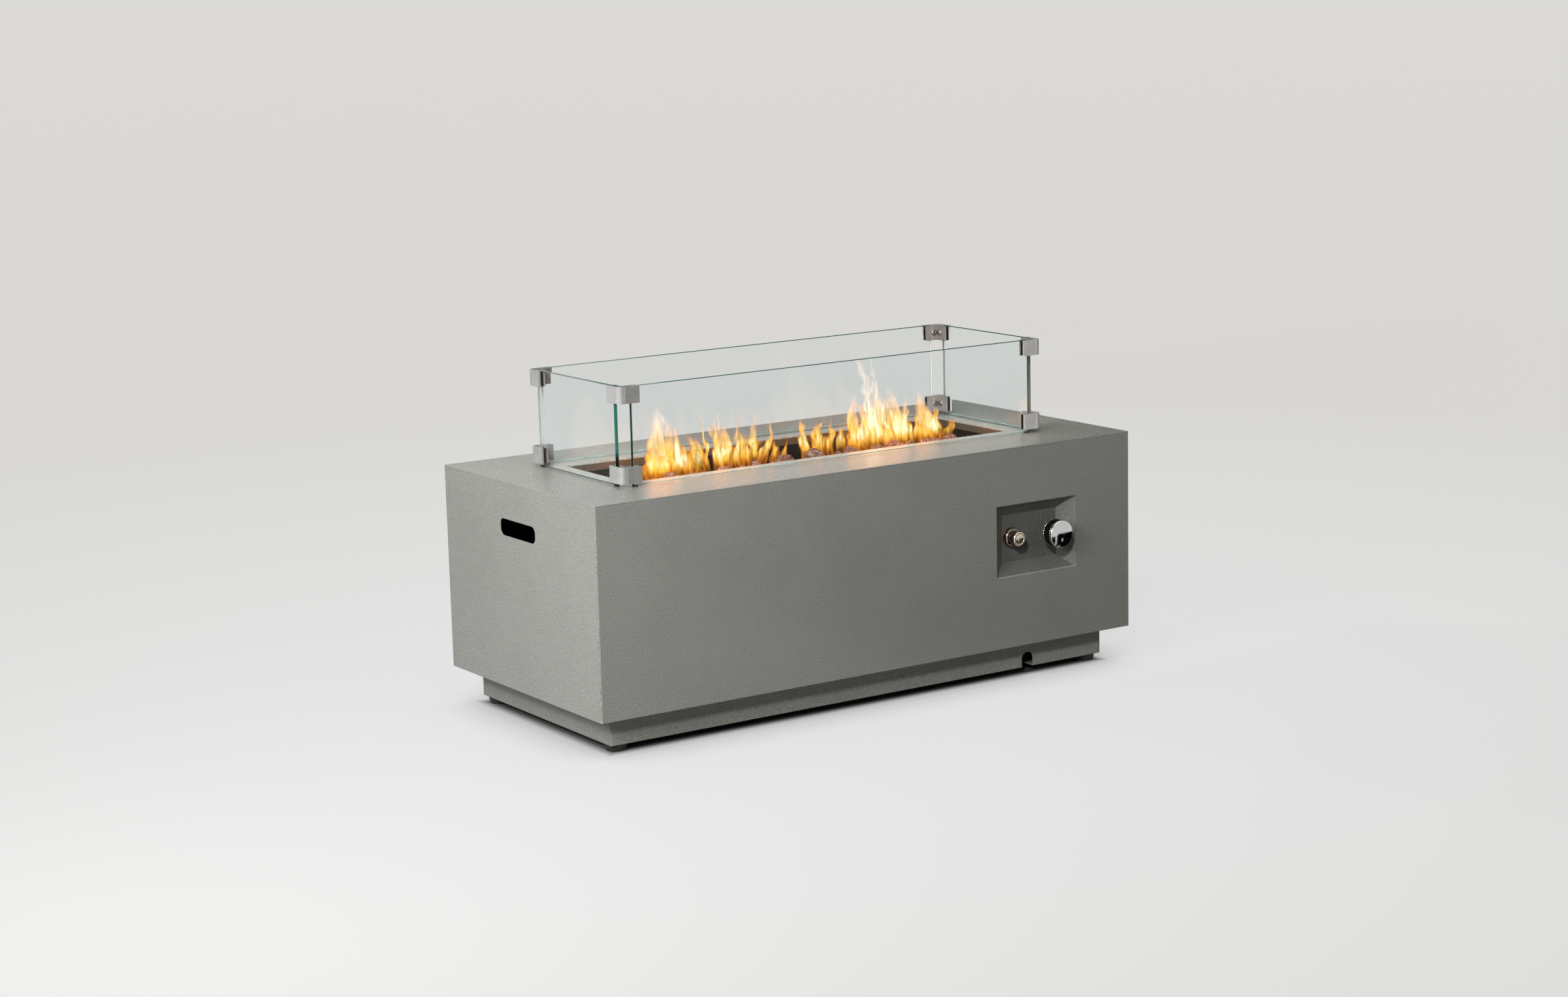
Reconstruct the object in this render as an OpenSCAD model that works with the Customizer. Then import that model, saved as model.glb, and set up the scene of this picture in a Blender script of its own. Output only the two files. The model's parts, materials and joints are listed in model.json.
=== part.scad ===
// Rectangular gas fire pit table: a powder-coated steel body on a set-back plinth, a long
// fire bowl with lava rock under the table top, a recessed control panel and a glass wind guard.
// Millimetres. +Z is up, the floor is z = 0, +X runs along the table, the controls face -Y.

/* [Table body] */
// Length of the table top
table_len = 1070; // [1060:5:1200]
// Width of the table top
table_wid = 500; // [490:5:600]
// Height of the body from the plinth to the table top
body_h = 345; // [335:5:420]
// Thickness of the folded sheet that the body is made of
sheet = 1.5; // [1:0.1:2]
// Thickness of the table top at its edge
top_sheet = 3; // [2:0.5:4]
// Outer radius of the body's upright corners
corner_r = 3; // [2.5:0.5:6]
// Width of the inward flange along the top of each side panel
top_flange = 24; // [20:1:32]
// Leg width of the corner angles inside the body
angle_leg = 25; // [20:1:32]

/* [Hand slots] */
// Length of each hand slot in the end panels
slot_len = 116; // [90:1:140]
// Height of each hand slot
slot_h = 28; // [25:1:36]
// Corner radius of each hand slot
slot_r = 11; // [6:0.5:12]
// Height of a hand slot's centre above the body's lower edge
slot_rise = 269.5; // [200:0.5:285]

/* [Plinth and feet] */
// Height of the plinth
plinth_h = 50; // [46:1:80]
// Distance of the plinth's face behind the body's face
plinth_inset = 37; // [30:1:55]
// Width of the plinth's inward flanges
plinth_flange = 40; // [38:1:50]
// Height of each rubber foot
foot_h = 12; // [10:0.5:20]
// Diameter of each rubber foot
foot_d = 37; // [30:0.5:38]
// Side of the square plate above each foot
foot_plate = 56; // [50:1:70]
// Width of the hose slot in the plinth
hose_w = 24; // [18:0.5:30]
// Height of the hose slot in the plinth
hose_h = 26; // [20:0.5:32]
// Distance of the hose slot from the right end of the table
hose_in = 198.5; // [155:0.5:255]

/* [Fire bowl] */
// Length of the opening in the table top
opening_len = 766; // [740:2:780]
// Width of the opening in the table top
opening_wid = 206; // [200:2:216]
// How far the lip frame stands back from the opening's edge
lip_set = 2; // [1:0.5:4]
// Height of the lip frame's upright strip
lip_h = 12; // [8:0.5:18]
// Width of the flange that carries the lip frame and the burner pan
rim_flange = 24; // [22:1:30]
// Depth of the burner pan's floor below the table top
bowl_depth = 86; // [80:1:100]
// Thickness of the burner pan's sheet
pan_sheet = 1.2; // [1:0.1:1.6]
// Drop of the heat shield below the burner pan
shield_drop = 28; // [20:1:36]

/* [Burner] */
// Length of the box burner
burner_len = 620; // [560:10:640]
// Width of the box burner
burner_wid = 60; // [56:1:62]
// Height of the box burner
burner_h = 24; // [20:1:26]
// Height of the burner's stands above the pan's floor
stand_h = 16; // [12:1:18]
// Thickness of the burner's sheet
burner_sheet = 1.2; // [1:0.1:1.6]
// Diameter of a burner port
port_d = 3; // [2:0.5:4]
// Distance between burner ports
port_pitch = 20; // [16:1:40]
// Outer diameter of the mixing tube under the burner
mixer_d = 22; // [20:0.5:24]
// Length of the mixing tube below the pan's floor
mixer_len = 75; // [66:1:80]

/* [Lava rock] */
// Height of the rocks that lie on the burner
crest_rock_h = 30; // [24:1:32]
// Largest radius of the rocks that lie on the burner
crest_rock_r = 21; // [16:0.5:21.5]
// Height of the rocks that lie on the pan's floor
bed_rock_h = 40; // [30:1:44]
// Largest radius of the rocks that lie on the pan's floor
bed_rock_r = 16; // [12:0.5:16.5]

/* [Control recess] */
// Length of the control recess
recess_len = 171; // [170:1:200]
// Height of the control recess
recess_h = 124; // [116:1:150]
// Depth of the recess's floor behind the front panel's face
recess_depth = 21; // [17:0.5:24]
// Slope of the recess's two end walls, measured along the table
recess_run_x = 27; // [15:0.5:27]
// Slope of the recess's upper and lower walls, measured upright
recess_run_z = 20.5; // [10:0.5:24]
// Width of the tray's flange behind the front panel
tray_flange = 14; // [13:0.5:18]
// Distance of the recess's centre from the right end of the table
recess_in = 205; // [195:1:235]
// Depth of the recess's centre below the table top
recess_drop = 160; // [155:1:175]
// Height of the knob and the igniter above the recess's centre
control_rise = 2; // [0:0.5:6]

/* [Gas knob and valve] */
// Distance of the knob from the recess's centre
knob_x = 41; // [38:0.5:43]
// Diameter of the gas knob
knob_d = 48; // [42:0.5:49]
// Depth of the knob from its face to its rear edge
knob_depth = 25; // [22:0.5:25.5]
// Distance of the knob's face from the recess's floor
knob_reach = 40; // [38.5:0.5:44]
// Travel of the knob when it is pushed in
knob_travel = 5; // [3:0.5:6]
// Diameter of the valve's stem
stem_d = 7.8; // [7.4:0.1:8.2]
// Diameter of the valve's main bore
valve_bore_d = 18; // [17:0.5:20]
// Width and height of the valve's body
valve_w = 32; // [30:0.5:36]
// Diameter of the gas inlet's flare thread
inlet_d = 15.9; // [13:0.1:17]
// Length of the gas inlet's flare thread
inlet_len = 16; // [12:0.5:20]
// Diameter of the gas pipe to the burner
pipe_d = 8; // [6:0.5:9]

/* [Igniter] */
// Distance of the igniter from the recess's centre
igniter_x = 40; // [38:0.5:42]
// Diameter of the igniter's fixing ring
ring_d = 34; // [31:0.5:35]
// Diameter of the igniter's push cap
cap_d = 25; // [24:0.5:26]
// Distance of the push cap's face from the recess's floor
cap_reach = 26; // [25:0.5:30]
// Travel of the push cap
cap_travel = 4; // [2:0.5:4.5]
// Diameter of the battery
cell_d = 10.5; // [10:0.1:10.8]
// Length of the battery
cell_len = 44.5; // [42:0.5:46]

/* [Glass guard] */
// Length of the guard over the glass
guard_len = 840; // [806:2:900]
// Width of the guard over the glass
guard_wid = 288; // [280:2:360]
// Height of the glass panes
glass_h = 160; // [120:2:200]
// Thickness of the glass panes
glass_t = 6; // [5:0.5:8]
// Gap between the end of a pane and the boss of the nearest clamp screw
boss_gap = 0.4; // [0.2:0.1:2]
// Thickness of the silicone pads under the panes
pad_t = 2; // [1:0.5:4]
// Leg length of a corner clamp
clamp_leg = 38; // [36:0.5:44]
// Height of a corner clamp
clamp_h = 27; // [24:0.5:34]
// Thickness of a clamp's outer bracket
clamp_t = 3.5; // [3.5:0.5:5]
// Outer corner radius of a clamp's outer bracket
clamp_r = 11; // [8:0.5:12]
// Thickness of a clamp's inner plate
plate_t = 3; // [2:0.5:4]
// Thickness of the gasket between a clamp and the glass
gasket_t = 1; // [0.5:0.5:1.5]
// Height of the lower clamps above the panes' lower edge
clamp_lift = 4; // [2:0.5:10]

/* [Hidden] */
$fn = 64;

// Small overlap that joins pieces of one solid, and overshoot of cutting tools
eps = 0.5;
// Running clearance of shafts and sliding sleeves, on the radius
run = 0.06;
// Clearance of threads and spigots, on the radius
thread = 0.04;
// Clearance of screw and stud holes, on the radius
hole = 0.3;

// Levels from the floor
z_body = foot_h + plinth_h;
z_top = z_body + body_h;
z_wall = z_top - top_sheet;
z_rim = z_wall - sheet;
z_floor = z_top - bowl_depth;
z_burner = z_floor + stand_h;
z_crest = z_burner + burner_h;
z_shield = z_floor - pan_sheet - shield_drop;
z_mixer = z_floor - mixer_len;
z_slot = z_body + slot_rise;
z_recess = z_top - recess_drop;
z_ctrl = z_recess + control_rise;
z_pane = z_top + pad_t;

// Distances from the middle of the table
y_front = -table_wid / 2;
y_inside = y_front + sheet;
y_tray = y_front + recess_depth;
y_tray_back = y_tray + sheet;
recess_x = table_len / 2 - recess_in;
hose_x = table_len / 2 - hose_in;
x_knob = recess_x + knob_x;
x_igniter = recess_x - igniter_x;
body_flange = plinth_inset + plinth_flange;
pan_half_x = opening_len / 2 + lip_set + sheet + eps;
pan_half_y = opening_wid / 2 + lip_set + sheet + eps;
rim_half_x = opening_len / 2 + lip_set + rim_flange;
rim_half_y = opening_wid / 2 + lip_set + rim_flange;
plinth_half_x = table_len / 2 - plinth_inset;
plinth_half_y = table_wid / 2 - plinth_inset;

// Studs and nuts that hold the table top, its lip frame and the burner pan
stud_r = 2.5;
stud_drop = 12;
rim_stud_in = rim_flange - 9;
rim_stud_end = 40;
top_stud_end = 75;
rim_stud_pitch = (opening_len - 2 * rim_stud_end) / 4;
top_stud_pitch = (table_len - 2 * top_stud_end) / 4;
top_stud_y = table_wid * 0.3;
rim_studs = concat(
    [for (i = [-2:2], s = [-1, 1]) [i * rim_stud_pitch, s * (opening_wid / 2 + lip_set + rim_stud_in)]],
    [for (s = [-1, 1]) [s * (opening_len / 2 + lip_set + rim_stud_in), 0]]
);
top_studs = concat(
    [for (i = [-2:2], s = [-1, 1]) [i * top_stud_pitch, s * (table_wid / 2 - top_flange / 2)]],
    [for (s = [-1, 1], t = [-1, 1]) [s * (table_len / 2 - top_flange / 2), t * top_stud_y]]
);

// Bolts between the plinth and the body
bolt_r = 3;
bolt_in = plinth_flange / 2;
bolt_pitch = (table_len - 2 * plinth_inset - 4 * plinth_flange) / 3;
plinth_bolt_at = concat(
    [for (i = [-1.5:1:1.5], s = [-1, 1]) [i * bolt_pitch, s * (plinth_half_y - bolt_in)]],
    [for (s = [-1, 1], t = [-1, 1]) [s * (plinth_half_x - bolt_in), t * (plinth_half_y / 2)]]
);

// Feet stand under the plinth's corners
foot_in = foot_d / 2 + 1.5;
foot_at = [
    for (s = [-1, 1], t = [-1, 1])
        [s * (plinth_half_x - foot_in), t * (plinth_half_y - foot_in)]
];

// Mixing tube, jet and air shutter
mixer_wall = 1.5;
mixer_r = mixer_d / 2;
air_hole_r = 4;
shutter_h = 18;
shutter_wall = 1.5;
jet_flange_h = 8;
jet_stub_h = 14;
jet_flange_r = mixer_r + 4;
z_jet = z_mixer - jet_flange_h - jet_stub_h;

// Gas valve, measured along Y from the back of the control tray
stem_r = stem_d / 2;
valve_bore_r = valve_bore_d / 2;
nose_r = stem_r + 4;
nose_len = 8;
y_bore = y_tray_back + 7.5;
collar_t = 3;
y_plunger = y_bore + 0.1 + collar_t;
plunger_t = 8;
y_spring = y_plunger + plunger_t;
spring_len = knob_travel + 8;
y_plug = y_spring + spring_len + 0.1;
plug_len = 18;
y_magnet = y_plug + plug_len + 0.1;
magnet_seat = 8;
magnet_len = 20;
y_valve_end = y_magnet + magnet_seat;
y_magnet_end = y_valve_end + magnet_len;
probe_nut_len = 10;
drive_w = 5;
drive_gap = 0.3;
z_valve_low = z_ctrl - valve_w / 2;
boss_r = 9;
boss_len = 8;
y_inlet = y_tray_back + 16;
y_outlet = y_plug + plug_len / 2;
valve_screw_z = nose_r + 8;
valve_screw_r = 2;
valve_flange_t = 5;

// Igniter, measured along Y from the recess's floor
neck_r = cap_d / 2 - 1.5;
ring_h = 9;
ring_seat = 5;
cap_face = 4.5;
neck_len = cap_reach - cap_face - cap_travel - 2.5;
cap_skirt = cap_reach - ring_seat - cap_travel - 1.5;
y_cap = y_tray - cap_reach;
cell_r = cell_d / 2;
y_cell = y_tray + 6;
housing_r = neck_r + 3;
y_housing_end = y_cell + cell_len + 6;
terminal_len = 8;
terminal_r = 4;

// Electrode and thermocouple stand in front of the burner
probe_y = -(burner_wid / 2 + 14);
spark_x = 120;
thermo_x = 150;
probe_gap = 22;
ceramic_r = 3.5;
thermo_r = 2.5;
probe_low = 16;

// Routes of the two leads, from the probes to the controls
y_terminal = y_housing_end + terminal_len;
y_probe_nut = y_magnet_end + probe_nut_len;
lead_run = 12;
z_lead = z_floor - probe_low - 2 * lead_run;
function between(a, b, f) = [for (i = [0:2]) a[i] + f[i] * (b[i] - a[i])];
function lead_route(low, end) = [
    [low[0], low[1], z_floor - probe_low], low + [0, 0, lead_run], low,
    between(low, end, [0.18, 0.2, 0.6]), between(low, end, [0.56, 0.55, 0.88]),
    between(low, end, [0.86, 0.7, 1]),
    end + [0, 2 * lead_run, 0], end + [0, lead_run, 0], end
];
spark_route = lead_route([spark_x, probe_y, z_lead], [x_igniter, y_terminal, z_ctrl]);
thermo_route = lead_route([thermo_x, probe_y, z_lead], [x_knob, y_probe_nut, z_ctrl]);
lead_plane = [0.56, 0.83, 0];
route_steps = 4;

// Glass guard, measured from the outer corner of the glass
guard_x = guard_len / 2;
guard_y = guard_wid / 2;
clamp_out = gasket_t + clamp_t;
plate_out = glass_t + gasket_t;
clamp_end = clamp_leg - clamp_out;
clamp_screw_r = 2;
clamp_boss_r = 3;
button_r = 4.3;
button_h = 2.2;
screw_bite = 1.5;
clamp_screw_in = plate_out + plate_t + button_h + button_r + 0.1;
pane_gap = clamp_screw_in + clamp_boss_r + boss_gap;
clamp_levels = [z_pane + clamp_lift, z_pane + glass_h - clamp_h];
pad_len = 8;

function unit(v) = v / norm(v);

// Catmull-Rom curve through the points of a route
function curve(p, i, t) =
    let (
        a = p[max(i - 1, 0)],
        b = p[i],
        c = p[i + 1],
        d = p[min(i + 2, len(p) - 1)]
    )
    0.5 * (2 * b + (c - a) * t + (2 * a - 5 * b + 4 * c - d) * t * t + (3 * b - a - 3 * c + d) * t * t * t);
function smooth(p, n) = concat([for (i = [0:len(p) - 2], k = [0:n - 1]) curve(p, i, k / n)], [p[len(p) - 1]]);

// Triangles between the rings of a closed tube, seen clockwise from outside
function skin(rings, sides) = [
    for (i = [0:rings - 2], j = [0:sides - 1], half = [0, 1])
        let (
            a = i * sides + j,
            b = i * sides + (j + 1) % sides,
            c = a + sides,
            d = b + sides
        )
        half == 0 ? [a, c, d] : [a, d, b]
];
function ends(rings, sides) = [
    [for (j = [0:sides - 1]) j],
    [for (j = [0:sides - 1]) rings * sides - 1 - j]
];

// Round tube of radius r along points p; the plane's normal keeps the rings from twisting
module tube(p, r, sides, normal) {
    n = len(p);
    points = [
        for (i = [0:n - 1])
            let (
                t = unit(p[min(i + 1, n - 1)] - p[max(i - 1, 0)]),
                u = unit(cross(normal, t)),
                v = cross(t, u)
            )
            for (j = [0:sides - 1]) p[i] + r * (cos(360 * j / sides) * u + sin(360 * j / sides) * v)
    ];
    polyhedron(points = points, faces = concat(skin(n, sides), ends(n, sides)));
}

// Helical spring along +Y from the origin; wire radius w, mean radius r
module spring(r, w, length, turns) {
    per_turn = 10;
    sides = 6;
    rings = turns * per_turn + 1;
    rise = length - 2 * w;
    points = [
        for (i = [0:rings - 1])
            let (
                a = 360 * i / per_turn,
                out = [cos(a), 0, sin(a)],
                mid = r * out + [0, w + rise * i / (rings - 1), 0]
            )
            for (j = [0:sides - 1]) mid + w * (cos(360 * j / sides) * out + sin(360 * j / sides) * [0, 1, 0])
    ];
    polyhedron(points = points, faces = concat(skin(rings, sides), ends(rings, sides)));
}

// Rectangle with round corners, centred
module round_rect(l, w, r) {
    square([l - 2 * r, w], center = true);
    square([l, w - 2 * r], center = true);
    for (s = [-1, 1], t = [-1, 1]) translate([s * (l / 2 - r), t * (w / 2 - r)]) circle(r);
}

// Mitred quarter of the plan: front, right, back or left
module quarter(side) {
    x = table_len / 2;
    y = table_wid / 2;
    inner = x - y;
    shapes = [
        [[-x, -y], [x, -y], [inner, 0], [-inner, 0]],
        [[x, -y], [x, y], [inner, 0]],
        [[x, y], [-x, y], [-inner, 0], [inner, 0]],
        [[-x, y], [-x, -y], [-inner, 0]]
    ];
    polygon(shapes[side]);
}

// Cylinder along +Y, from y = a to y = b, on an axis through x and z
module rod_y(x, z, r, a, b) {
    translate([x, a, z]) rotate([-90, 0, 0]) cylinder(h = b - a, r = r);
}

// Block between two corner points
module block(a, b) {
    translate(a) cube(b - a);
}

// Hexagonal nut on a vertical stud of radius r, standing on z = 0
module nut(r, h) {
    difference() {
        cylinder(h = h, r = 1.9 * r, $fn = 6);
        translate([0, 0, -eps]) cylinder(h = h + 2 * eps, r = r + thread);
    }
}

// Upright wall, lower flange and upper flange of one side of the body
module side_panel(side) {
    difference() {
        union() {
            translate([0, 0, z_body]) linear_extrude(z_wall - z_body) intersection() {
                difference() {
                    round_rect(table_len, table_wid, corner_r);
                    round_rect(table_len - 2 * sheet, table_wid - 2 * sheet, corner_r - sheet + 0.01);
                }
                quarter(side);
            }
            translate([0, 0, z_body]) linear_extrude(sheet) intersection() {
                difference() {
                    round_rect(table_len, table_wid, corner_r);
                    square([table_len - 2 * body_flange, table_wid - 2 * body_flange], center = true);
                }
                quarter(side);
            }
            translate([0, 0, z_wall - sheet]) linear_extrude(sheet) intersection() {
                difference() {
                    round_rect(table_len, table_wid, corner_r);
                    square([table_len - 2 * top_flange, table_wid - 2 * top_flange], center = true);
                }
                quarter(side);
            }
        }
        for (p = plinth_bolt_at)
            translate([p[0], p[1], z_body - eps]) cylinder(h = sheet + 2 * eps, r = bolt_r + hole);
        for (p = top_studs)
            translate([p[0], p[1], z_wall - sheet - eps]) cylinder(h = sheet + 2 * eps, r = stud_r + hole);
    }
}

// Hand slot through an end panel
module hand_slot(s) {
    translate([s * table_len / 2 - 4 * sheet, 0, z_slot])
        rotate([90, 0, 90]) linear_extrude(8 * sheet) round_rect(slot_len, slot_h, slot_r);
}

// Wall and two inward flanges of one side of the plinth
module plinth_side(side) {
    l = 2 * plinth_half_x;
    w = 2 * plinth_half_y;
    difference() {
        union() {
            translate([0, 0, foot_h]) linear_extrude(plinth_h) intersection() {
                difference() {
                    square([l, w], center = true);
                    square([l - 2 * sheet, w - 2 * sheet], center = true);
                }
                quarter(side);
            }
            for (z = [foot_h, z_body - sheet]) translate([0, 0, z]) linear_extrude(sheet) intersection() {
                difference() {
                    square([l, w], center = true);
                    square([l - 2 * plinth_flange, w - 2 * plinth_flange], center = true);
                }
                quarter(side);
            }
        }
        for (p = plinth_bolt_at)
            translate([p[0], p[1], z_body - sheet - eps]) cylinder(h = sheet + 2 * eps, r = bolt_r + hole);
        for (p = foot_at)
            translate([p[0], p[1], foot_h - eps]) cylinder(h = sheet + 2 * eps, r = bolt_r + hole);
    }
}

// Rectangular frustum cavity of the control recess, widened by t
module recess_cavity(t, y_a, y_b) {
    half_x = recess_len / 2 + t;
    half_z = recess_h / 2 + t;
    floor_x = half_x - recess_run_x;
    floor_z = half_z - recess_run_z;
    intersection() {
        translate([recess_x, 0, z_recess - recess_h]) linear_extrude(2 * recess_h)
            polygon([[-half_x, y_a], [half_x, y_a], [floor_x, y_b], [-floor_x, y_b]]);
        translate([recess_x - recess_len, 0, z_recess]) rotate([90, 0, 90]) linear_extrude(2 * recess_len)
            polygon([[y_a, -half_z], [y_a, half_z], [y_b, floor_z], [y_b, -floor_z]]);
    }
}
tray_studs = [
    for (s = [-1, 1], t = [-1, 1])
        [recess_x + s * (recess_len / 2 + tray_flange / 2), z_recess + t * recess_h / 3]
];
tray_stud_r = 2;
tray_stud_len = 8;

module top_panel() {
    color([0.62, 0.62, 0.6]) {
        translate([0, 0, z_wall]) linear_extrude(top_sheet) difference() {
            round_rect(table_len, table_wid, corner_r);
            square([opening_len, opening_wid], center = true);
        }
        for (p = concat(rim_studs, top_studs))
            translate([p[0], p[1], z_wall - stud_drop]) cylinder(h = stud_drop + eps, r = stud_r);
    }
}

module front_panel() {
    color([0.47, 0.475, 0.45]) {
        difference() {
            side_panel(0);
            block([recess_x - recess_len / 2, y_front - eps, z_recess - recess_h / 2],
                [recess_x + recess_len / 2, y_inside + eps, z_recess + recess_h / 2]);
        }
        for (p = tray_studs) rod_y(p[0], p[1], tray_stud_r, y_inside - eps, y_inside + tray_stud_len);
    }
}

module right_end_panel() {
    color([0.5, 0.5, 0.48]) difference() {
        side_panel(1);
        hand_slot(1);
    }
}

module back_panel() {
    color([0.5, 0.5, 0.48]) side_panel(2);
}

module left_end_panel() {
    color([0.6, 0.605, 0.575]) difference() {
        side_panel(3);
        hand_slot(-1);
    }
}

// Angles that join the side panels inside the four upright corners
module corner_angles() {
    angle_t = 2;
    cut = corner_r;
    x = table_len / 2 - sheet;
    y = table_wid / 2 - sheet;
    color([0.25, 0.25, 0.25])
        for (s = [0, 1], t = [0, 1]) mirror([s, 0, 0]) mirror([0, t, 0])
            translate([x, y, z_body + sheet]) linear_extrude(z_rim - z_body - sheet)
                polygon([[-angle_leg, 0], [-cut, 0], [0, -cut], [0, -angle_leg], [-angle_t, -angle_leg],
                    [-angle_t, -angle_t - cut], [-angle_t - cut, -angle_t], [-angle_leg, -angle_t]]);
}

module plinth_front() {
    r = hose_w / 2;
    color([0.42, 0.425, 0.4]) difference() {
        plinth_side(0);
        translate([hose_x, -plinth_half_y - eps, foot_h]) rotate([-90, 0, 0])
            linear_extrude(plinth_flange + 2 * eps) {
                translate([0, r - hose_h]) circle(r);
                translate([-r, r - hose_h]) square([hose_w, hose_h - r + eps]);
            }
    }
}

module plinth_right() {
    color([0.42, 0.425, 0.4]) plinth_side(1);
}

module plinth_back() {
    color([0.42, 0.425, 0.4]) plinth_side(2);
}

module plinth_left() {
    color([0.5, 0.505, 0.48]) plinth_side(3);
}

// Bolts that hold the plinth under the body, heads below
module plinth_bolts() {
    head_h = 4;
    color("silver") for (p = plinth_bolt_at) translate([p[0], p[1], z_body - sheet]) {
        translate([0, 0, -head_h]) cylinder(h = head_h, r = 1.9 * bolt_r, $fn = 6);
        translate([0, 0, -eps]) cylinder(h = 2 * sheet + 8 + eps, r = bolt_r);
    }
}

module plinth_nuts() {
    color("silver") for (p = plinth_bolt_at) translate([p[0], p[1], z_body + sheet]) nut(bolt_r, 5);
}

plate_thick = 3;

// Plates that carry the feet in the plinth's corners
module foot_plates() {
    color([0.25, 0.25, 0.25]) for (s = [-1, 1], t = [-1, 1]) difference() {
        x = s * (plinth_half_x - sheet - foot_plate / 2);
        y = t * (plinth_half_y - sheet - foot_plate / 2);
        translate([x, y, foot_h + sheet + plate_thick / 2])
            cube([foot_plate, foot_plate, plate_thick], center = true);
        for (p = foot_at)
            translate([p[0], p[1], foot_h + sheet - eps])
                cylinder(h = plate_thick + 2 * eps, r = bolt_r + hole);
    }
}

foot_recess = 6;
foot_recess_r = 8;

module rubber_feet() {
    r = foot_d / 2;
    low = 2;
    color([0.05, 0.05, 0.05]) for (p = foot_at) translate([p[0], p[1], 0]) difference() {
        rotate_extrude()
            polygon([[0, 0], [r - low, 0], [r - low / 3, low / 3], [r, low], [r, foot_h], [0, foot_h]]);
        translate([0, 0, -eps]) cylinder(h = foot_recess + eps, r = foot_recess_r);
        translate([0, 0, -eps]) cylinder(h = foot_h + 2 * eps, r = bolt_r + hole);
    }
}

module foot_screws() {
    head_h = 4;
    color("silver") for (p = foot_at) translate([p[0], p[1], foot_recess]) {
        translate([0, 0, -head_h]) cylinder(h = head_h, r = 2 * bolt_r);
        translate([0, 0, -eps])
            cylinder(h = foot_h - foot_recess + sheet + plate_thick + 8 + eps, r = bolt_r);
    }
}

module foot_nuts() {
    color("silver") for (p = foot_at) translate([p[0], p[1], foot_h + sheet + plate_thick]) nut(bolt_r, 5);
}

// Frame with an upright strip just inside the opening's edge
module lip_frame() {
    l = opening_len + 2 * lip_set;
    w = opening_wid + 2 * lip_set;
    color([0.6, 0.57, 0.52]) difference() {
        union() {
            translate([0, 0, z_rim]) linear_extrude(sheet) difference() {
                square([2 * rim_half_x, 2 * rim_half_y], center = true);
                square([l, w], center = true);
            }
            translate([0, 0, z_wall - lip_h]) linear_extrude(lip_h) difference() {
                square([l + 2 * sheet, w + 2 * sheet], center = true);
                square([l, w], center = true);
            }
        }
        for (p = rim_studs)
            translate([p[0], p[1], z_rim - eps]) cylinder(h = sheet + 2 * eps, r = stud_r + hole);
    }
}

drain_r = 4;
drain_at = [for (s = [-1, 1], t = [-1, 1]) [s * opening_len * 0.44, t * opening_wid * 0.33]];

// Deep pan that holds the burner and the rock, hung by its flange
module burner_pan() {
    color([0.12, 0.11, 0.1]) difference() {
        union() {
            block([-pan_half_x - pan_sheet, -pan_half_y - pan_sheet, z_floor - pan_sheet],
                [pan_half_x + pan_sheet, pan_half_y + pan_sheet, z_rim]);
            block([-rim_half_x, -rim_half_y, z_rim - pan_sheet], [rim_half_x, rim_half_y, z_rim]);
        }
        block([-pan_half_x, -pan_half_y, z_floor], [pan_half_x, pan_half_y, z_rim + eps]);
        for (p = rim_studs)
            translate([p[0], p[1], z_rim - pan_sheet - eps])
                cylinder(h = pan_sheet + 2 * eps, r = stud_r + hole);
        for (p = drain_at)
            translate([p[0], p[1], z_floor - pan_sheet - eps]) cylinder(h = pan_sheet + 2 * eps, r = drain_r);
        translate([0, 0, z_floor - pan_sheet - eps]) cylinder(h = pan_sheet + 2 * eps, r = mixer_r + hole);
        for (x = [spark_x, thermo_x])
            translate([x, probe_y, z_floor - pan_sheet - eps])
                cylinder(h = pan_sheet + 2 * eps, r = ceramic_r + hole);
    }
}

// Nuts that clamp the pan and the side panels under the table top
module rim_nuts() {
    nut_h = 4;
    color("silver") {
        for (p = rim_studs) translate([p[0], p[1], z_rim - pan_sheet - nut_h]) nut(stud_r, nut_h);
        for (p = top_studs) translate([p[0], p[1], z_rim - nut_h]) nut(stud_r, nut_h);
    }
}

port_count = floor((burner_len - 2 * port_pitch) / port_pitch);
port_y = burner_wid / 2 - 6;

// Folded box with two rows of ports
module burner() {
    t = burner_sheet;
    color([0.55, 0.55, 0.55]) difference() {
        block([-burner_len / 2, -burner_wid / 2, z_burner], [burner_len / 2, burner_wid / 2, z_crest]);
        block([-burner_len / 2 - eps, -burner_wid / 2 + t, z_burner + t],
            [burner_len / 2 + eps, burner_wid / 2 - t, z_crest - t]);
        for (i = [0:port_count], s = [-1, 1])
            translate([(i - port_count / 2) * port_pitch, s * port_y, z_crest - t - eps])
                cylinder(h = t + 2 * eps, d = port_d);
        translate([0, 0, z_burner - eps]) cylinder(h = t + 2 * eps, r = mixer_r - mixer_wall);
    }
}

module burner_caps() {
    color([0.55, 0.55, 0.55]) for (s = [0, 1]) mirror([s, 0, 0])
        block([burner_len / 2, -burner_wid / 2, z_burner],
            [burner_len / 2 + burner_sheet, burner_wid / 2, z_crest]);
}

stand_x = 0.38 * burner_len;

// Folded stands that carry the burner on the pan's floor
module burner_stands() {
    t = 1.5;
    foot = 18;
    half = burner_wid / 2 - 2;
    color([0.5, 0.5, 0.5]) for (s = [0, 1]) mirror([s, 0, 0]) translate([stand_x, half, z_floor])
        rotate([90, 0, 0]) linear_extrude(2 * half)
            polygon([[0, 0], [foot, 0], [foot, t], [t, t], [t, stand_h - t], [foot, stand_h - t],
                [foot, stand_h], [0, stand_h]]);
}

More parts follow.
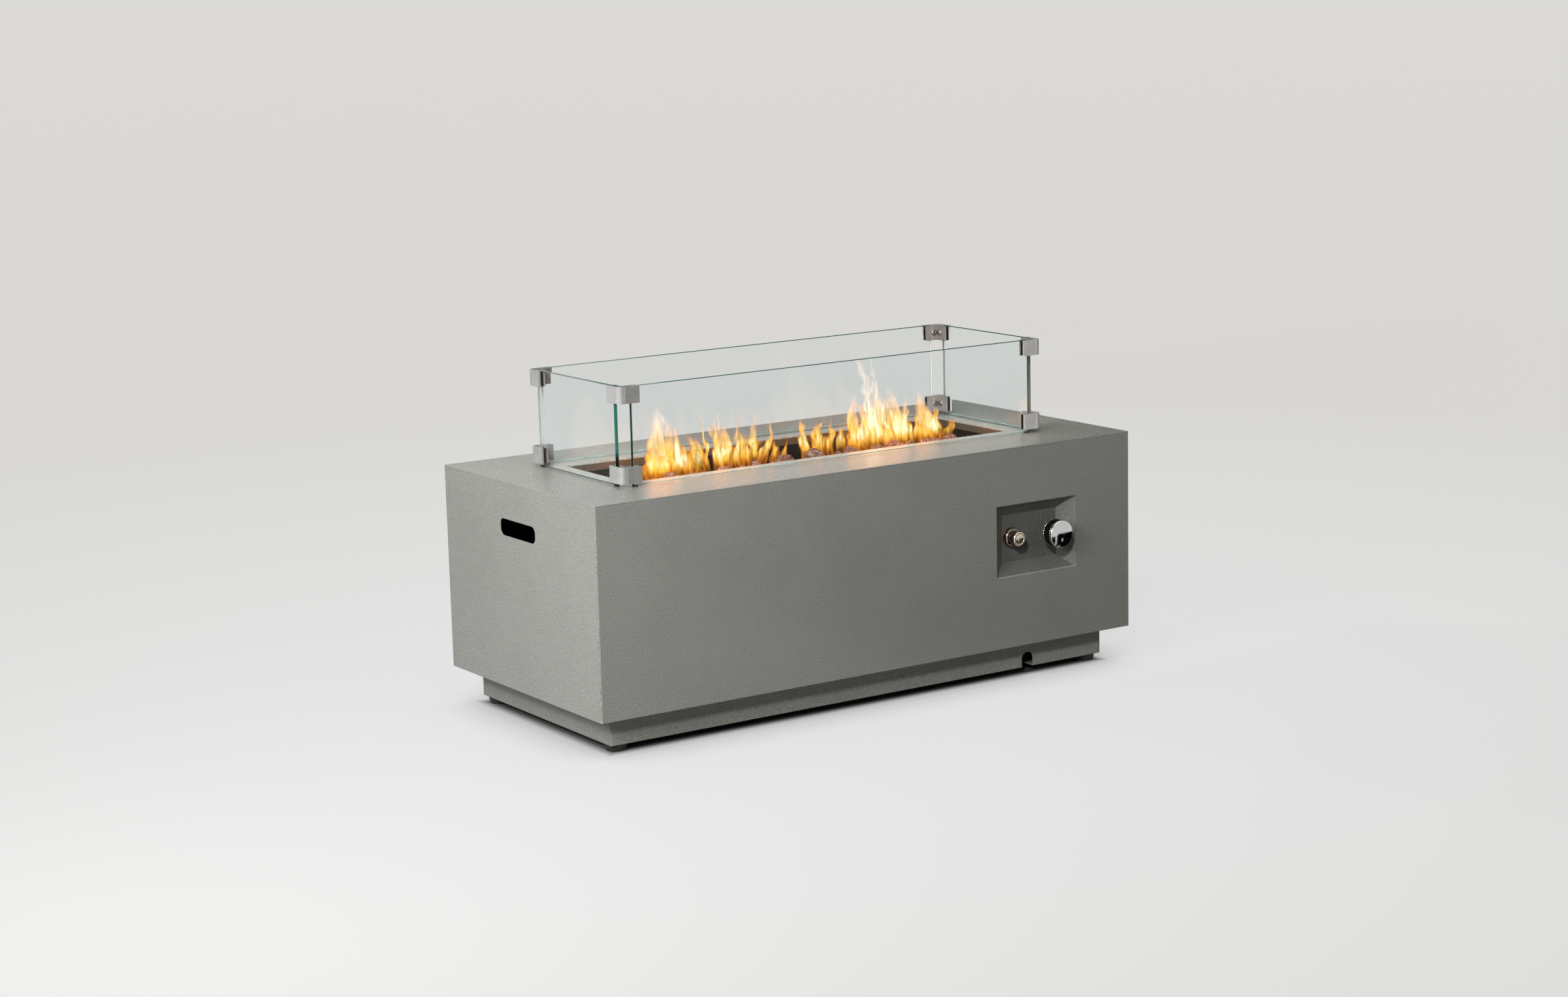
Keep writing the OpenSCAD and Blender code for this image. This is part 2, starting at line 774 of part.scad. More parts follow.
// Tube that mixes gas with air and feeds the burner from below
module mixing_tube() {
    flange_r = mixer_r + 6;
    flange_t = 2;
    color([0.6, 0.6, 0.6]) difference() {
        union() {
            translate([0, 0, z_mixer]) cylinder(h = z_burner - z_mixer, r = mixer_r);
            translate([0, 0, z_burner - flange_t]) cylinder(h = flange_t, r = flange_r);
        }
        translate([0, 0, z_mixer - eps]) cylinder(h = z_burner - z_mixer + 2 * eps, r = mixer_r - mixer_wall);
        air_holes(mixer_r + eps);
    }
}

// Four air holes around the mixing tube's lower end
module air_holes(reach) {
    for (a = [0, 90, 180, 270])
        translate([0, 0, z_mixer + shutter_h / 2]) rotate([0, 90, a]) cylinder(h = reach, r = air_hole_r);
}

// Sleeve that turns on the mixing tube to open or close its air holes
module air_shutter() {
    color([0.7, 0.6, 0.3]) difference() {
        translate([0, 0, z_mixer + run]) cylinder(h = shutter_h, r = mixer_r + run + shutter_wall);
        translate([0, 0, z_mixer - eps]) cylinder(h = shutter_h + 2 * eps, r = mixer_r + run);
        air_holes(mixer_r + shutter_wall + 2);
    }
}

// Brass jet that closes the mixing tube's lower end
module gas_jet() {
    spigot_h = 6;
    bore_r = 2.5;
    jet_r = 0.8;
    color([0.75, 0.6, 0.25]) difference() {
        union() {
            translate([0, 0, z_mixer - eps]) cylinder(h = spigot_h - eps, r = mixer_r - mixer_wall - thread);
            translate([0, 0, z_mixer - jet_flange_h]) cylinder(h = jet_flange_h, r = jet_flange_r, $fn = 6);
            translate([0, 0, z_jet]) cylinder(h = jet_stub_h + eps, r = pipe_d / 2 + 2);
        }
        translate([0, 0, z_jet - eps]) cylinder(h = jet_stub_h + jet_flange_h, r = bore_r);
        translate([0, 0, z_jet]) cylinder(h = jet_stub_h + jet_flange_h + spigot_h, r = jet_r);
    }
}

shield_end = 30;
spacer_in = [25, 20];
shield_half_x = opening_len / 2 - shield_end;
shield_half_y = opening_wid / 2;
spacer_r = 4;
spacer_bore_r = 2;
spacer_at = [
    for (s = [-1, 1], t = [-1, 1]) [s * (shield_half_x - spacer_in[0]), t * (shield_half_y - spacer_in[1])]
];

// Plate under the pan that keeps its heat off the gas controls
module heat_shield() {
    t = 1;
    mouth = mixer_r + 9;
    color([0.65, 0.65, 0.65]) difference() {
        block([-shield_half_x, -shield_half_y, z_shield - t], [shield_half_x, shield_half_y, z_shield]);
        translate([0, 0, z_shield - t - eps]) cylinder(h = t + 2 * eps, r = mouth);
        for (p = spacer_at)
            translate([p[0], p[1], z_shield - t - eps]) cylinder(h = t + 2 * eps, r = spacer_bore_r + hole);
        for (x = [spark_x, thermo_x])
            translate([x, probe_y, z_shield - t - eps]) cylinder(h = t + 2 * eps, r = ceramic_r + 4);
    }
}

module shield_spacers() {
    color([0.7, 0.7, 0.7]) for (p = spacer_at) translate([p[0], p[1], z_shield]) difference() {
        cylinder(h = shield_drop, r = spacer_r);
        translate([0, 0, -eps]) cylinder(h = shield_drop / 2, r = spacer_bore_r);
    }
}

module shield_screws() {
    head_h = 2.5;
    shield_t = 1;
    color("silver") for (p = spacer_at) translate([p[0], p[1], z_shield - shield_t]) {
        translate([0, 0, -head_h]) cylinder(h = head_h, r = 2 * spacer_bore_r);
        translate([0, 0, -eps]) cylinder(h = eps + shield_t + shield_drop / 3, r = spacer_bore_r - thread);
    }
}

rock_sides = 6;

// One lump of rock with a flat base; every point lies within radius r and height h
module rock(r, h, seed) {
    n = rock_sides;
    levels = [[0, 0.66], [0.42, 1], [0.84, 0.62]];
    wobble = rands(0.8, 1, 3 * n, seed);
    points = concat(
        [for (k = [0:2], j = [0:n - 1])
            let (a = 360 * (j + 0.3 * k) / n, q = r * levels[k][1] * wobble[k * n + j])
            [q * cos(a), q * sin(a), h * levels[k][0] * (k == 0 ? 1 : wobble[(k * n + j + 5) % (3 * n)])]],
        [[0.1 * r, 0, h]]
    );
    fan = [for (j = [0:n - 1]) [2 * n + j, 3 * n, 2 * n + (j + 1) % n]];
    polyhedron(points = points, faces = concat(skin(3, n), [[for (j = [0:n - 1]) j]], fan));
}

crest_step = 2 * crest_rock_r + 3;
crest_count = floor(burner_len / crest_step);
bed_step = 2 * bed_rock_r + 3;
bed_count = floor((2 * pan_half_x - 8) / bed_step);
bed_inner = burner_wid / 2 + bed_rock_r + 2;
bed_outer = pan_half_y - bed_rock_r - 1;
end_x = pan_half_x - bed_rock_r - 2;
probe_clear = 20 + bed_rock_r;
bed_y = [-bed_outer, -bed_inner, bed_inner, bed_outer];

// Loose rocks: one row along the burner, two rows on each side of it and a few at its ends
module lava_rock() {
    color([0.42, 0.22, 0.16]) {
        for (i = [0:crest_count - 1])
            translate([(i - (crest_count - 1) / 2) * crest_step, 0, z_crest])
                rotate([0, 0, 47 * i]) rock(crest_rock_r, crest_rock_h * (0.8 + 0.2 * cos(140 * i)), 10 + i);
        for (k = [0:3], i = [0:bed_count - 1])
            let (x = (i - (bed_count - 1) / 2) * bed_step)
                if (k != 1 || min(abs(x - spark_x), abs(x - thermo_x)) > probe_clear)
                    translate([x, bed_y[k], z_floor]) rotate([0, 0, 31 * i + 77 * k])
                        rock(bed_rock_r, bed_rock_h * (0.8 + 0.2 * cos(100 * i + 50 * k)), 100 + 40 * k + i);
        for (s = [-1, 1]) translate([s * end_x, 0, z_floor]) rock(bed_rock_r, bed_rock_h, 300 + s);
    }
}

// Sunk tray that carries the knob and the igniter
module control_tray() {
    half_x = recess_len / 2 + tray_flange;
    half_z = recess_h / 2 + tray_flange;
    color([0.4, 0.405, 0.385]) difference() {
        union() {
            recess_cavity(sheet, y_inside, y_tray_back);
            block([recess_x - half_x, y_inside, z_recess - half_z],
                [recess_x + half_x, y_inside + sheet, z_recess + half_z]);
        }
        recess_cavity(0, y_inside, y_tray);
        rod_y(x_knob, z_ctrl, nose_r + hole, y_tray - eps, y_tray_back + eps);
        rod_y(x_igniter, z_ctrl, neck_r + hole, y_tray - eps, y_tray_back + eps);
        for (s = [-1, 1])
            rod_y(x_knob, z_ctrl + s * valve_screw_z, valve_screw_r + hole, y_tray - eps, y_tray_back + eps);
        for (p = tray_studs) rod_y(p[0], p[1], tray_stud_r + hole, y_inside - eps, y_inside + sheet + eps);
    }
}

module tray_nuts() {
    color("silver") for (p = tray_studs)
        translate([p[0], y_inside + sheet, p[1]]) rotate([-90, 0, 0]) nut(tray_stud_r, 4);
}

// Brass casting with a bore along the knob's axis, an inlet and an outlet below
module valve_body() {
    flange_h = valve_screw_z + 6;
    half = valve_w / 2;
    color([0.72, 0.6, 0.32]) difference() {
        union() {
            block([x_knob - half, y_tray_back, z_ctrl - flange_h],
                [x_knob + half, y_tray_back + valve_flange_t, z_ctrl + flange_h]);
            block([x_knob - half, y_tray_back, z_ctrl - half], [x_knob + half, y_valve_end, z_ctrl + half]);
            rod_y(x_knob, z_ctrl, nose_r, y_tray_back - nose_len, y_tray_back + eps);
            for (y = [y_inlet, y_outlet])
                translate([x_knob, y, z_valve_low - boss_len]) cylinder(h = boss_len + eps, r = boss_r);
        }
        rod_y(x_knob, z_ctrl, stem_r + run, y_tray_back - nose_len - eps, y_bore + eps);
        rod_y(x_knob, z_ctrl, valve_bore_r, y_bore, y_valve_end + eps);
        translate([x_knob, y_inlet, z_valve_low - boss_len - eps]) cylinder(h = boss_len + half, r = 5);
        translate([x_knob, y_outlet, z_valve_low - boss_len - eps]) cylinder(h = boss_len + half, r = 3.5);
        for (s = [-1, 1])
            rod_y(x_knob, z_ctrl + s * valve_screw_z, valve_screw_r + thread, y_tray_back - eps, y_bore);
    }
}

module valve_screws() {
    head_h = 2.4;
    color("silver") for (s = [-1, 1]) {
        rod_y(x_knob, z_ctrl + s * valve_screw_z, 1.8 * valve_screw_r, y_tray - head_h, y_tray);
        rod_y(x_knob, z_ctrl + s * valve_screw_z, valve_screw_r, y_tray - eps, y_tray_back + valve_flange_t);
    }
}

// Sleeve that slides in the valve when the knob is pushed
module valve_plunger() {
    color([0.8, 0.8, 0.75]) difference() {
        rod_y(x_knob, z_ctrl, valve_bore_r - run, y_plunger + run, y_spring);
        rod_y(x_knob, z_ctrl, stem_r + run, y_plunger - eps, y_spring + eps);
    }
}

module valve_spring() {
    wire = 0.7;
    color("silver") translate([x_knob, y_spring, z_ctrl]) spring(stem_r + 2.4, wire, spring_len, 5);
}

// Plug that meters the gas; the stem's square end turns it
module valve_plug() {
    slot = drive_w + drive_gap;
    color([0.75, 0.62, 0.3]) difference() {
        rod_y(x_knob, z_ctrl, valve_bore_r - run, y_plug, y_plug + plug_len);
        translate([x_knob, y_plug + plug_len / 2, z_ctrl])
            cube([slot, plug_len + 2 * eps, slot], center = true);
        translate([x_knob, y_outlet, z_ctrl - valve_bore_r]) cylinder(h = valve_bore_r, r = 2.5);
    }
}

y_stem_end = y_plug + plug_len - knob_travel - 1;
y_knob = y_tray - knob_reach;
knob_socket = 14;

// Round stem with a collar in front of the plunger and a square end in the plug
module valve_stem() {
    color([0.7, 0.7, 0.7]) {
        rod_y(x_knob, z_ctrl, stem_r, y_knob + knob_depth - knob_socket + 0.2, y_spring + 2);
        rod_y(x_knob, z_ctrl, stem_r + 2.2, y_bore + 0.1, y_plunger);
        block([x_knob - drive_w / 2, y_spring + 1, z_ctrl - drive_w / 2],
            [x_knob + drive_w / 2, y_stem_end, z_ctrl + drive_w / 2]);
    }
}

// Chromed knob: a flat mirror face, a ribbed skirt and a socket for the stem
module gas_knob() {
    r = knob_d / 2;
    d = knob_depth;
    rib_count = 36;
    rib_r = 0.9;
    color([0.75, 0.75, 0.77]) translate([x_knob, y_knob, z_ctrl]) rotate([-90, 0, 0]) difference() {
        rotate_extrude() polygon([[0, 0], [r - 2, 0], [r - 0.6, 0.6], [r, 2], [r, d], [0, d]]);
        for (a = [0:rib_count - 1]) rotate([0, 0, 360 * a / rib_count]) translate([r + 0.25, 0, 4])
            cylinder(h = d - 8, r = rib_r);
        translate([0, 0, d - knob_socket]) cylinder(h = knob_socket + eps, r = stem_r + thread);
        translate([0, 0, d - knob_socket / 2]) difference() {
            cylinder(h = knob_socket, r = r - 3);
            cylinder(h = knob_socket, r = stem_r + 3.5);
        }
    }
}

// Magnet unit that holds the gas open while the thermocouple is hot; it closes the valve's bore
module safety_magnet() {
    color([0.7, 0.7, 0.65]) {
        rod_y(x_knob, z_ctrl, valve_bore_r - thread, y_magnet, y_valve_end + eps);
        rod_y(x_knob, z_ctrl, valve_bore_r + 2, y_valve_end, y_magnet_end);
        translate([x_knob, y_magnet_end - eps, z_ctrl]) rotate([-90, 0, 0])
            cylinder(h = probe_nut_len + eps, r = 5, $fn = 6);
    }
}

z_inlet = z_valve_low - boss_len;

// Flare fitting for the gas hose, screwed into the valve
module gas_inlet() {
    hex_h = 8;
    bore_r = 4;
    color([0.75, 0.62, 0.28]) difference() {
        union() {
            translate([x_knob, y_inlet, z_inlet - eps]) cylinder(h = boss_len, r = 5 - thread);
            translate([x_knob, y_inlet, z_inlet - hex_h]) cylinder(h = hex_h, r = inlet_d / 2 + 2, $fn = 6);
            translate([x_knob, y_inlet, z_inlet - hex_h - inlet_len])
                cylinder(h = inlet_len + eps, d = inlet_d);
        }
        translate([x_knob, y_inlet, z_inlet - hex_h - inlet_len - eps])
            cylinder(h = inlet_len + hex_h + boss_len + 2 * eps, r = bore_r);
    }
}

pipe_nut_h = 12;
pipe_wall = 1;
pipe_bend = 26;
z_pipe = z_jet - pipe_nut_h - pipe_bend - 2;
pipe_ends = [[x_knob, y_outlet, z_inlet], [0, 0, z_jet]];
pipe_span = norm([x_knob, y_outlet]);

// One leg of the pipe: down from the end at height z, round a bend and along to the middle
module pipe_leg(r, z, over) {
    translate([0, 0, z_pipe + pipe_bend]) cylinder(h = z - z_pipe - pipe_bend + over, r = r);
    translate([pipe_bend, 0, z_pipe + pipe_bend]) rotate([90, 0, 180])
        rotate_extrude(angle = -90) translate([pipe_bend, 0]) circle(r);
    translate([pipe_bend, 0, z_pipe]) rotate([0, 90, 0]) cylinder(h = pipe_span / 2 - pipe_bend + eps, r = r);
}

// Both legs of the pipe, in the upright plane through the valve's outlet and the jet
module pipe_run(r, over) {
    translate([x_knob, y_outlet, 0]) rotate([0, 0, atan2(-y_outlet, -x_knob)]) {
        pipe_leg(r, z_inlet, over);
        translate([pipe_span, 0, 0]) rotate([0, 0, 180]) pipe_leg(r, z_jet, over);
    }
}

module gas_pipe() {
    color([0.75, 0.72, 0.68]) difference() {
        pipe_run(pipe_d / 2, 0);
        pipe_run(pipe_d / 2 - pipe_wall, eps);
    }
}

// Nuts that join the pipe to the valve and to the jet
module pipe_nuts() {
    color([0.75, 0.62, 0.28]) for (p = pipe_ends) translate(p - [0, 0, pipe_nut_h]) difference() {
        cylinder(h = pipe_nut_h, r = pipe_d / 2 + 4.5, $fn = 6);
        translate([0, 0, -eps]) cylinder(h = pipe_nut_h + 2 * eps, r = pipe_d / 2 + thread);
    }
}

// Plastic body of the igniter, with a neck through the tray and a chamber for the battery
module igniter_housing() {
    color([0.08, 0.08, 0.08]) difference() {
        union() {
            rod_y(x_igniter, z_ctrl, neck_r, y_tray - neck_len, y_tray_back + eps);
            rod_y(x_igniter, z_ctrl, housing_r, y_tray_back, y_housing_end);
            rod_y(x_igniter, z_ctrl, terminal_r, y_housing_end - eps, y_housing_end + terminal_len);
        }
        rod_y(x_igniter, z_ctrl, cell_r + 0.3, y_tray - neck_len - eps, y_cell + cell_len);
    }
}

// Chromed ring screwed on the igniter's neck against the tray
module igniter_ring() {
    r = ring_d / 2;
    h = ring_h;
    seat_r = neck_r + thread;
    wide_r = cap_d / 2 + 0.4;
    color([0.75, 0.72, 0.68]) translate([x_igniter, y_tray, z_ctrl]) rotate([90, 0, 0])
        rotate_extrude() polygon([[seat_r, 0], [r, 0], [r, h - 3], [r - 1, h - 1], [r - 3, h], [wide_r, h],
            [wide_r, ring_seat], [seat_r, ring_seat]]);
}

// Push cap that slides over the igniter's neck
module igniter_cap() {
    r = cap_d / 2;
    inner = neck_r + run;
    color([0.78, 0.74, 0.68]) translate([x_igniter, y_cap, z_ctrl]) rotate([-90, 0, 0])
        rotate_extrude()
            polygon([[0, 0.6], [r - 4, 0.6], [r - 3.4, 0], [r - 1.5, 0], [r, 1.5], [r, cap_skirt],
                [inner, cap_skirt], [inner, cap_face], [0, cap_face]]);
}

module igniter_spring() {
    wire = 0.5;
    color("silver") translate([x_igniter, y_cap + cap_face, z_ctrl])
        spring(cell_r - 1.4, wire, y_cell - y_cap - cap_face - 1, 8);
}

module igniter_battery() {
    nub = 1;
    color([0.2, 0.2, 0.22]) {
        rod_y(x_igniter, z_ctrl, cell_r, y_cell, y_cell + cell_len);
        rod_y(x_igniter, z_ctrl, 2, y_cell - nub, y_cell + eps);
    }
}

bracket_t = 1.5;
bracket_rise = 20;

// Folded bracket on the burner's side that holds the electrode and the thermocouple
module probe_bracket() {
    mid = (spark_x + thermo_x) / 2;
    half = (thermo_x - spark_x) / 2 + 10;
    y_wall = -burner_wid / 2;
    z = z_floor + bracket_rise;
    color([0.6, 0.6, 0.6]) difference() {
        union() {
            block([mid - half, probe_y - 8, z], [mid + half, y_wall, z + bracket_t]);
            block([mid - half, y_wall - bracket_t, z], [mid + half, y_wall, z + 14]);
        }
        translate([spark_x, probe_y, z - eps]) cylinder(h = bracket_t + 2 * eps, r = ceramic_r + thread);
        translate([thermo_x, probe_y, z - eps]) cylinder(h = bracket_t + 2 * eps, r = thermo_r + thread);
    }
}

// Ceramic rod with a wire that bends towards the burner
module spark_electrode() {
    wire_r = 1;
    rise = stand_h + burner_h - 4;
    tip = 9;
    color([0.9, 0.88, 0.82]) {
        translate([spark_x, probe_y, z_floor - probe_low]) cylinder(h = probe_low + rise, r = ceramic_r);
        translate([spark_x, probe_y, z_floor + rise - eps]) cylinder(h = 12, r = wire_r);
        translate([spark_x, probe_y, z_floor + rise + 11]) sphere(wire_r);
        rod_y(spark_x, z_floor + rise + 11, wire_r, probe_y, probe_y + tip);
    }
}

// Round probe whose tip sits in the flame
module thermocouple() {
    rise = stand_h + burner_h + 6;
    color([0.72, 0.55, 0.35]) {
        translate([thermo_x, probe_y, z_floor - probe_low]) cylinder(h = probe_low + rise, r = thermo_r);
        translate([thermo_x, probe_y, z_floor + rise]) sphere(thermo_r);
    }
}

module spark_lead() {
    color([0.1, 0.1, 0.1]) tube(smooth(spark_route, route_steps), 2, 8, lead_plane);
}

module thermocouple_lead() {
    color([0.7, 0.45, 0.25]) tube(smooth(thermo_route, route_steps), 1.25, 8, lead_plane);
}

// Pane along the table, at the front or the back
module long_pane(s) {
    color([0.75, 0.88, 0.85, 0.35]) translate([0, s * (guard_y - glass_t / 2), z_pane + glass_h / 2])
        cube([guard_len - 2 * pane_gap, glass_t, glass_h], center = true);
}

// Pane across the table, at the left or the right
module short_pane(s) {
    color([0.75, 0.88, 0.85, 0.35]) translate([s * (guard_x - glass_t / 2), 0, z_pane + glass_h / 2])
        cube([glass_t, guard_wid - 2 * pane_gap, glass_h], center = true);
}

module glass_front() {
    long_pane(-1);
}

module glass_back() {
    long_pane(1);
}

module glass_left() {
    short_pane(-1);
}

module glass_right() {
    short_pane(1);
}

// Copies of a clamp's piece at the eight corners; the guard lies towards -X and -Y of each
module at_clamps() {
    for (s = [0, 1], t = [0, 1], z = clamp_levels)
        mirror([s, 0, 0]) mirror([0, t, 0]) translate([guard_x, guard_y, z]) children();
}

// Both legs of a corner piece, the second one mirrored across the corner's diagonal
module both_legs() {
    children();
    mirror([1, -1, 0]) children();
}

// Screw axis of the leg along X: from the inner plate outwards
module clamp_screw_rod(r, a, b) {
    translate([-clamp_screw_in, a, clamp_h / 2]) rotate([-90, 0, 0]) cylinder(h = b - a, r = r);
}

// Outer angle brackets with a round corner and a boss for each screw
module clamp_brackets() {
    centre = clamp_out - clamp_r;
    color([0.8, 0.8, 0.8]) at_clamps() difference() {
        union() {
            linear_extrude(clamp_h) {
                both_legs() translate([-clamp_end, gasket_t]) square([clamp_end + centre, clamp_t]);
                intersection() {
                    translate([centre, centre]) difference() {
                        circle(clamp_r);
                        circle(clamp_r - clamp_t);
                    }
                    translate([centre, centre]) square(clamp_r);
                }
            }
            both_legs() clamp_screw_rod(clamp_boss_r, -plate_out, gasket_t + eps);
        }
        both_legs() clamp_screw_rod(clamp_screw_r + thread, -plate_out - eps, gasket_t + screw_bite + eps);
    }
}

// Inner angle plates that press the glass against the brackets
module clamp_plates() {
    color([0.7, 0.7, 0.7]) at_clamps() difference() {
        linear_extrude(clamp_h) both_legs()
            translate([-clamp_end, -plate_out - plate_t]) square([clamp_end - plate_out, plate_t]);
        both_legs() clamp_screw_rod(clamp_screw_r + hole, -plate_out - plate_t - eps, -plate_out + eps);
    }
}

// Rubber gaskets on both faces of the glass inside each clamp, and the pads under the panes
module clamp_gaskets() {
    inset = 1;
    color([0.08, 0.08, 0.08]) {
        at_clamps() both_legs() for (y = [0, -glass_t - gasket_t])
            block([-clamp_end, y, inset], [-pane_gap, y + gasket_t, clamp_h - inset]);
        for (s = [0, 1], t = [0, 1]) mirror([s, 0, 0]) mirror([0, t, 0]) translate([guard_x, guard_y, z_top])
            both_legs() block([-pane_gap - pad_len, -glass_t, 0], [-pane_gap, 0, pad_t]);
    }
}

// Button-head screws with a hexagonal socket
module clamp_screws() {
    face = -plate_out - plate_t;
    color([0.35, 0.35, 0.35]) at_clamps() both_legs() difference() {
        union() {
            clamp_screw_rod(button_r, face - button_h, face);
            clamp_screw_rod(clamp_screw_r, face - eps, gasket_t + screw_bite);
        }
        translate([-clamp_screw_in, face - button_h - eps, clamp_h / 2]) rotate([-90, 0, 0])
            cylinder(h = 1.4 + eps, r = 1.4, $fn = 6);
    }
}

top_panel();
front_panel();
back_panel();
left_end_panel();
right_end_panel();
corner_angles();
plinth_front();
plinth_back();
plinth_left();
plinth_right();
plinth_bolts();
plinth_nuts();
foot_plates();
rubber_feet();
foot_screws();
foot_nuts();
lip_frame();
burner_pan();
rim_nuts();
burner();
burner_caps();
burner_stands();
mixing_tube();
air_shutter();
gas_jet();
heat_shield();
shield_spacers();
shield_screws();
lava_rock();
control_tray();
tray_nuts();
valve_body();
valve_screws();
valve_plunger();
valve_spring();
valve_plug();
valve_stem();
gas_knob();
safety_magnet();
gas_inlet();
gas_pipe();
pipe_nuts();
igniter_housing();
igniter_ring();
igniter_cap();
igniter_spring();
igniter_battery();
probe_bracket();
spark_electrode();
thermocouple();
spark_lead();
thermocouple_lead();
glass_front();
glass_back();
glass_left();
glass_right();
clamp_brackets();
clamp_plates();
clamp_gaskets();
clamp_screws();
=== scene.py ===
# %% [markdown]
# # A gas fire pit table
# A low steel table with a sand-textured grey coat, a long burner under lava rock, a sunk panel
# with a knob and an igniter, and a glass guard held by corner clamps. The exact solids come from
# the CAD model. This lesson gives them their finishes and adds what solids do badly: worked
# chrome, polished glass edges, porous stone and fire.

# %% Load the exact model
import json

import bmesh
import bpy
import numpy as np
from mathutils import Matrix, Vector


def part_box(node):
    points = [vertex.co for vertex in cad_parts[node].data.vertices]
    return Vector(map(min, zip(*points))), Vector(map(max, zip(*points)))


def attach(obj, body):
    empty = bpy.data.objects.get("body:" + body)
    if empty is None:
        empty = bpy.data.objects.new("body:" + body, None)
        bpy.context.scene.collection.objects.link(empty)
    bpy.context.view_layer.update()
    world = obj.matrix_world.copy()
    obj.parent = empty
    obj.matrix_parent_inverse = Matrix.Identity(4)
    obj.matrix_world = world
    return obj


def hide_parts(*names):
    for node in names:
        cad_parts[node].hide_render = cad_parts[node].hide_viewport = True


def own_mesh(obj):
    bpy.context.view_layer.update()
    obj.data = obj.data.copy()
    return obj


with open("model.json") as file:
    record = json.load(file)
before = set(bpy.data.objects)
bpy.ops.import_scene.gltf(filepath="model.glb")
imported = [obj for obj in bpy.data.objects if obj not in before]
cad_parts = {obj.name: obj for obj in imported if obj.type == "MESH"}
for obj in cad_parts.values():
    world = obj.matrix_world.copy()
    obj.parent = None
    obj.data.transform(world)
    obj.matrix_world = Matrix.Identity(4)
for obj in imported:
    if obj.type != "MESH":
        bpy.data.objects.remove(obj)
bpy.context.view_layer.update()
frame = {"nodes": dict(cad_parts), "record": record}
cad = frame["nodes"]

# %% [markdown]
# ## Camera
# The photograph was matched to the table's corners by a pinhole model, which gives a focal length
# in pixels, three angles and a distance. A camera in Blender looks along its own -Z, so its matrix
# has the picture's right, the picture's up and the way back to the lens as columns.

# %% Camera at the photograph's place
scene = bpy.context.scene
scene.view_settings.view_transform = "Standard"
PICTURE_WIDTH = 2408
FOCAL_PIXELS = 4512.5
SENSOR_WIDTH = 36.0
# the eye, seen from the middle of the body's lower edge: back, sideways and up in the picture
EYE_BACK, EYE_SIDE, EYE_UP = 5.07037, -0.01594, 0.25309
BODY_LOW = np.array([0, 0, 0.062])


def show(name, data):
    """A new object with this data, linked to the scene."""
    made = bpy.data.objects.new(name, data)
    scene.collection.objects.link(made)
    return made


def placed(axes, at):
    """A matrix with these three axes as columns and its origin at this point."""
    return Matrix([[*row, p] for row, p in zip(np.stack(axes, 1), at)] + [[0, 0, 0, 1]])


turn, rise, tilt = np.radians([-33.4955, 10.4686, -1.4021])
back = np.array([np.sin(turn) * np.cos(rise), -np.cos(turn) * np.cos(rise), np.sin(rise)])
level = np.array([np.cos(turn), np.sin(turn), 0.0])
upright = np.cross(back, level)
eye = EYE_BACK * back + EYE_SIDE * level + EYE_UP * upright + BODY_LOW
right = np.cos(tilt) * level + np.sin(tilt) * upright
up = np.cos(tilt) * upright - np.sin(tilt) * level

camera = show("camera", bpy.data.cameras.new("camera"))
camera.data.sensor_width = SENSOR_WIDTH
camera.data.lens = SENSOR_WIDTH * FOCAL_PIXELS / PICTURE_WIDTH
camera.data.clip_end = 500.0
camera.matrix_world = placed([right, up, back], eye)
scene.camera = camera
print("lens", round(camera.data.lens, 2), "mm at", eye.round(3))

# %% [markdown]
# ## A way to write shader nodes
# A material is a small graph. A few helpers keep the graphs short to read: one sets a node's inputs,
# one adds a node, and one opens a node group with named sockets, so that an effect used by several
# finishes is built once. A socket knows its own graph, so the helpers for sums and noise need no more.

# %% Helpers for materials and groups
def feed(node, inputs):
    """Sets inputs of a node. A value is a constant or another node's output; a colour may lack its alpha."""
    for key, value in inputs.items():
        socket = node.inputs[key]
        if isinstance(value, bpy.types.NodeSocket):
            node.id_data.links.new(value, socket)
        elif socket.type == "RGBA" and len(value) == 3:
            socket.default_value = (*value, 1)
        else:
            socket.default_value = value
    return node


def add(tree, kind, inputs=None, **settings):
    """One shader node with these settings and inputs."""
    made = tree.nodes.new("ShaderNode" + kind)
    for key, value in settings.items():
        setattr(made, key, value)
    return feed(made, inputs or {})


def open_group(name, sockets, results):
    """An empty node group with these input and result sockets; returns it, its inputs and its result node."""
    made = bpy.data.node_groups.new(name, "ShaderNodeTree")
    for label, kind, value in sockets:
        socket = made.interface.new_socket(label, in_out="INPUT", socket_type="NodeSocket" + kind)
        socket.default_value = value
    for label, kind in results:
        made.interface.new_socket(label, in_out="OUTPUT", socket_type="NodeSocket" + kind)
    return made, made.nodes.new("NodeGroupInput").outputs, made.nodes.new("NodeGroupOutput")


# %% Helpers for noise, sums and colours
def graph(*values):
    """The graph of the first socket among these values."""
    return next(v.id_data for v in values if isinstance(v, bpy.types.NodeSocket))


def noise(where, scale, detail=2.0, rough=0.5, bend=0.0):
    """Noise between 0 and 1 with lumps of about 1 / scale metres."""
    inputs = {"Vector": where, "Scale": scale, "Detail": detail, "Roughness": rough, "Distortion": bend}
    return add(graph(where), "TexNoise", inputs).outputs["Fac"]


def span(value, low, high, to_low=0.0, to_high=1.0):
    """Stretches a value from one range to another and holds it there."""
    inputs = {"Value": value, "From Min": low, "From Max": high, "To Min": to_low, "To Max": to_high}
    return add(graph(value), "MapRange", inputs).outputs["Result"]


def blend(share, a, b, way="MIX"):
    """Mixes two colours by a share between 0 and 1."""
    return add(graph(share, a, b), "Mix", {0: share, 6: a, 7: b}, data_type="RGBA", blend_type=way).outputs[2]


def sums(way, a, b=0):
    """One arithmetic step on two values."""
    return add(graph(a, b), "Math", {0: a, 1: b}, operation=way).outputs[0]


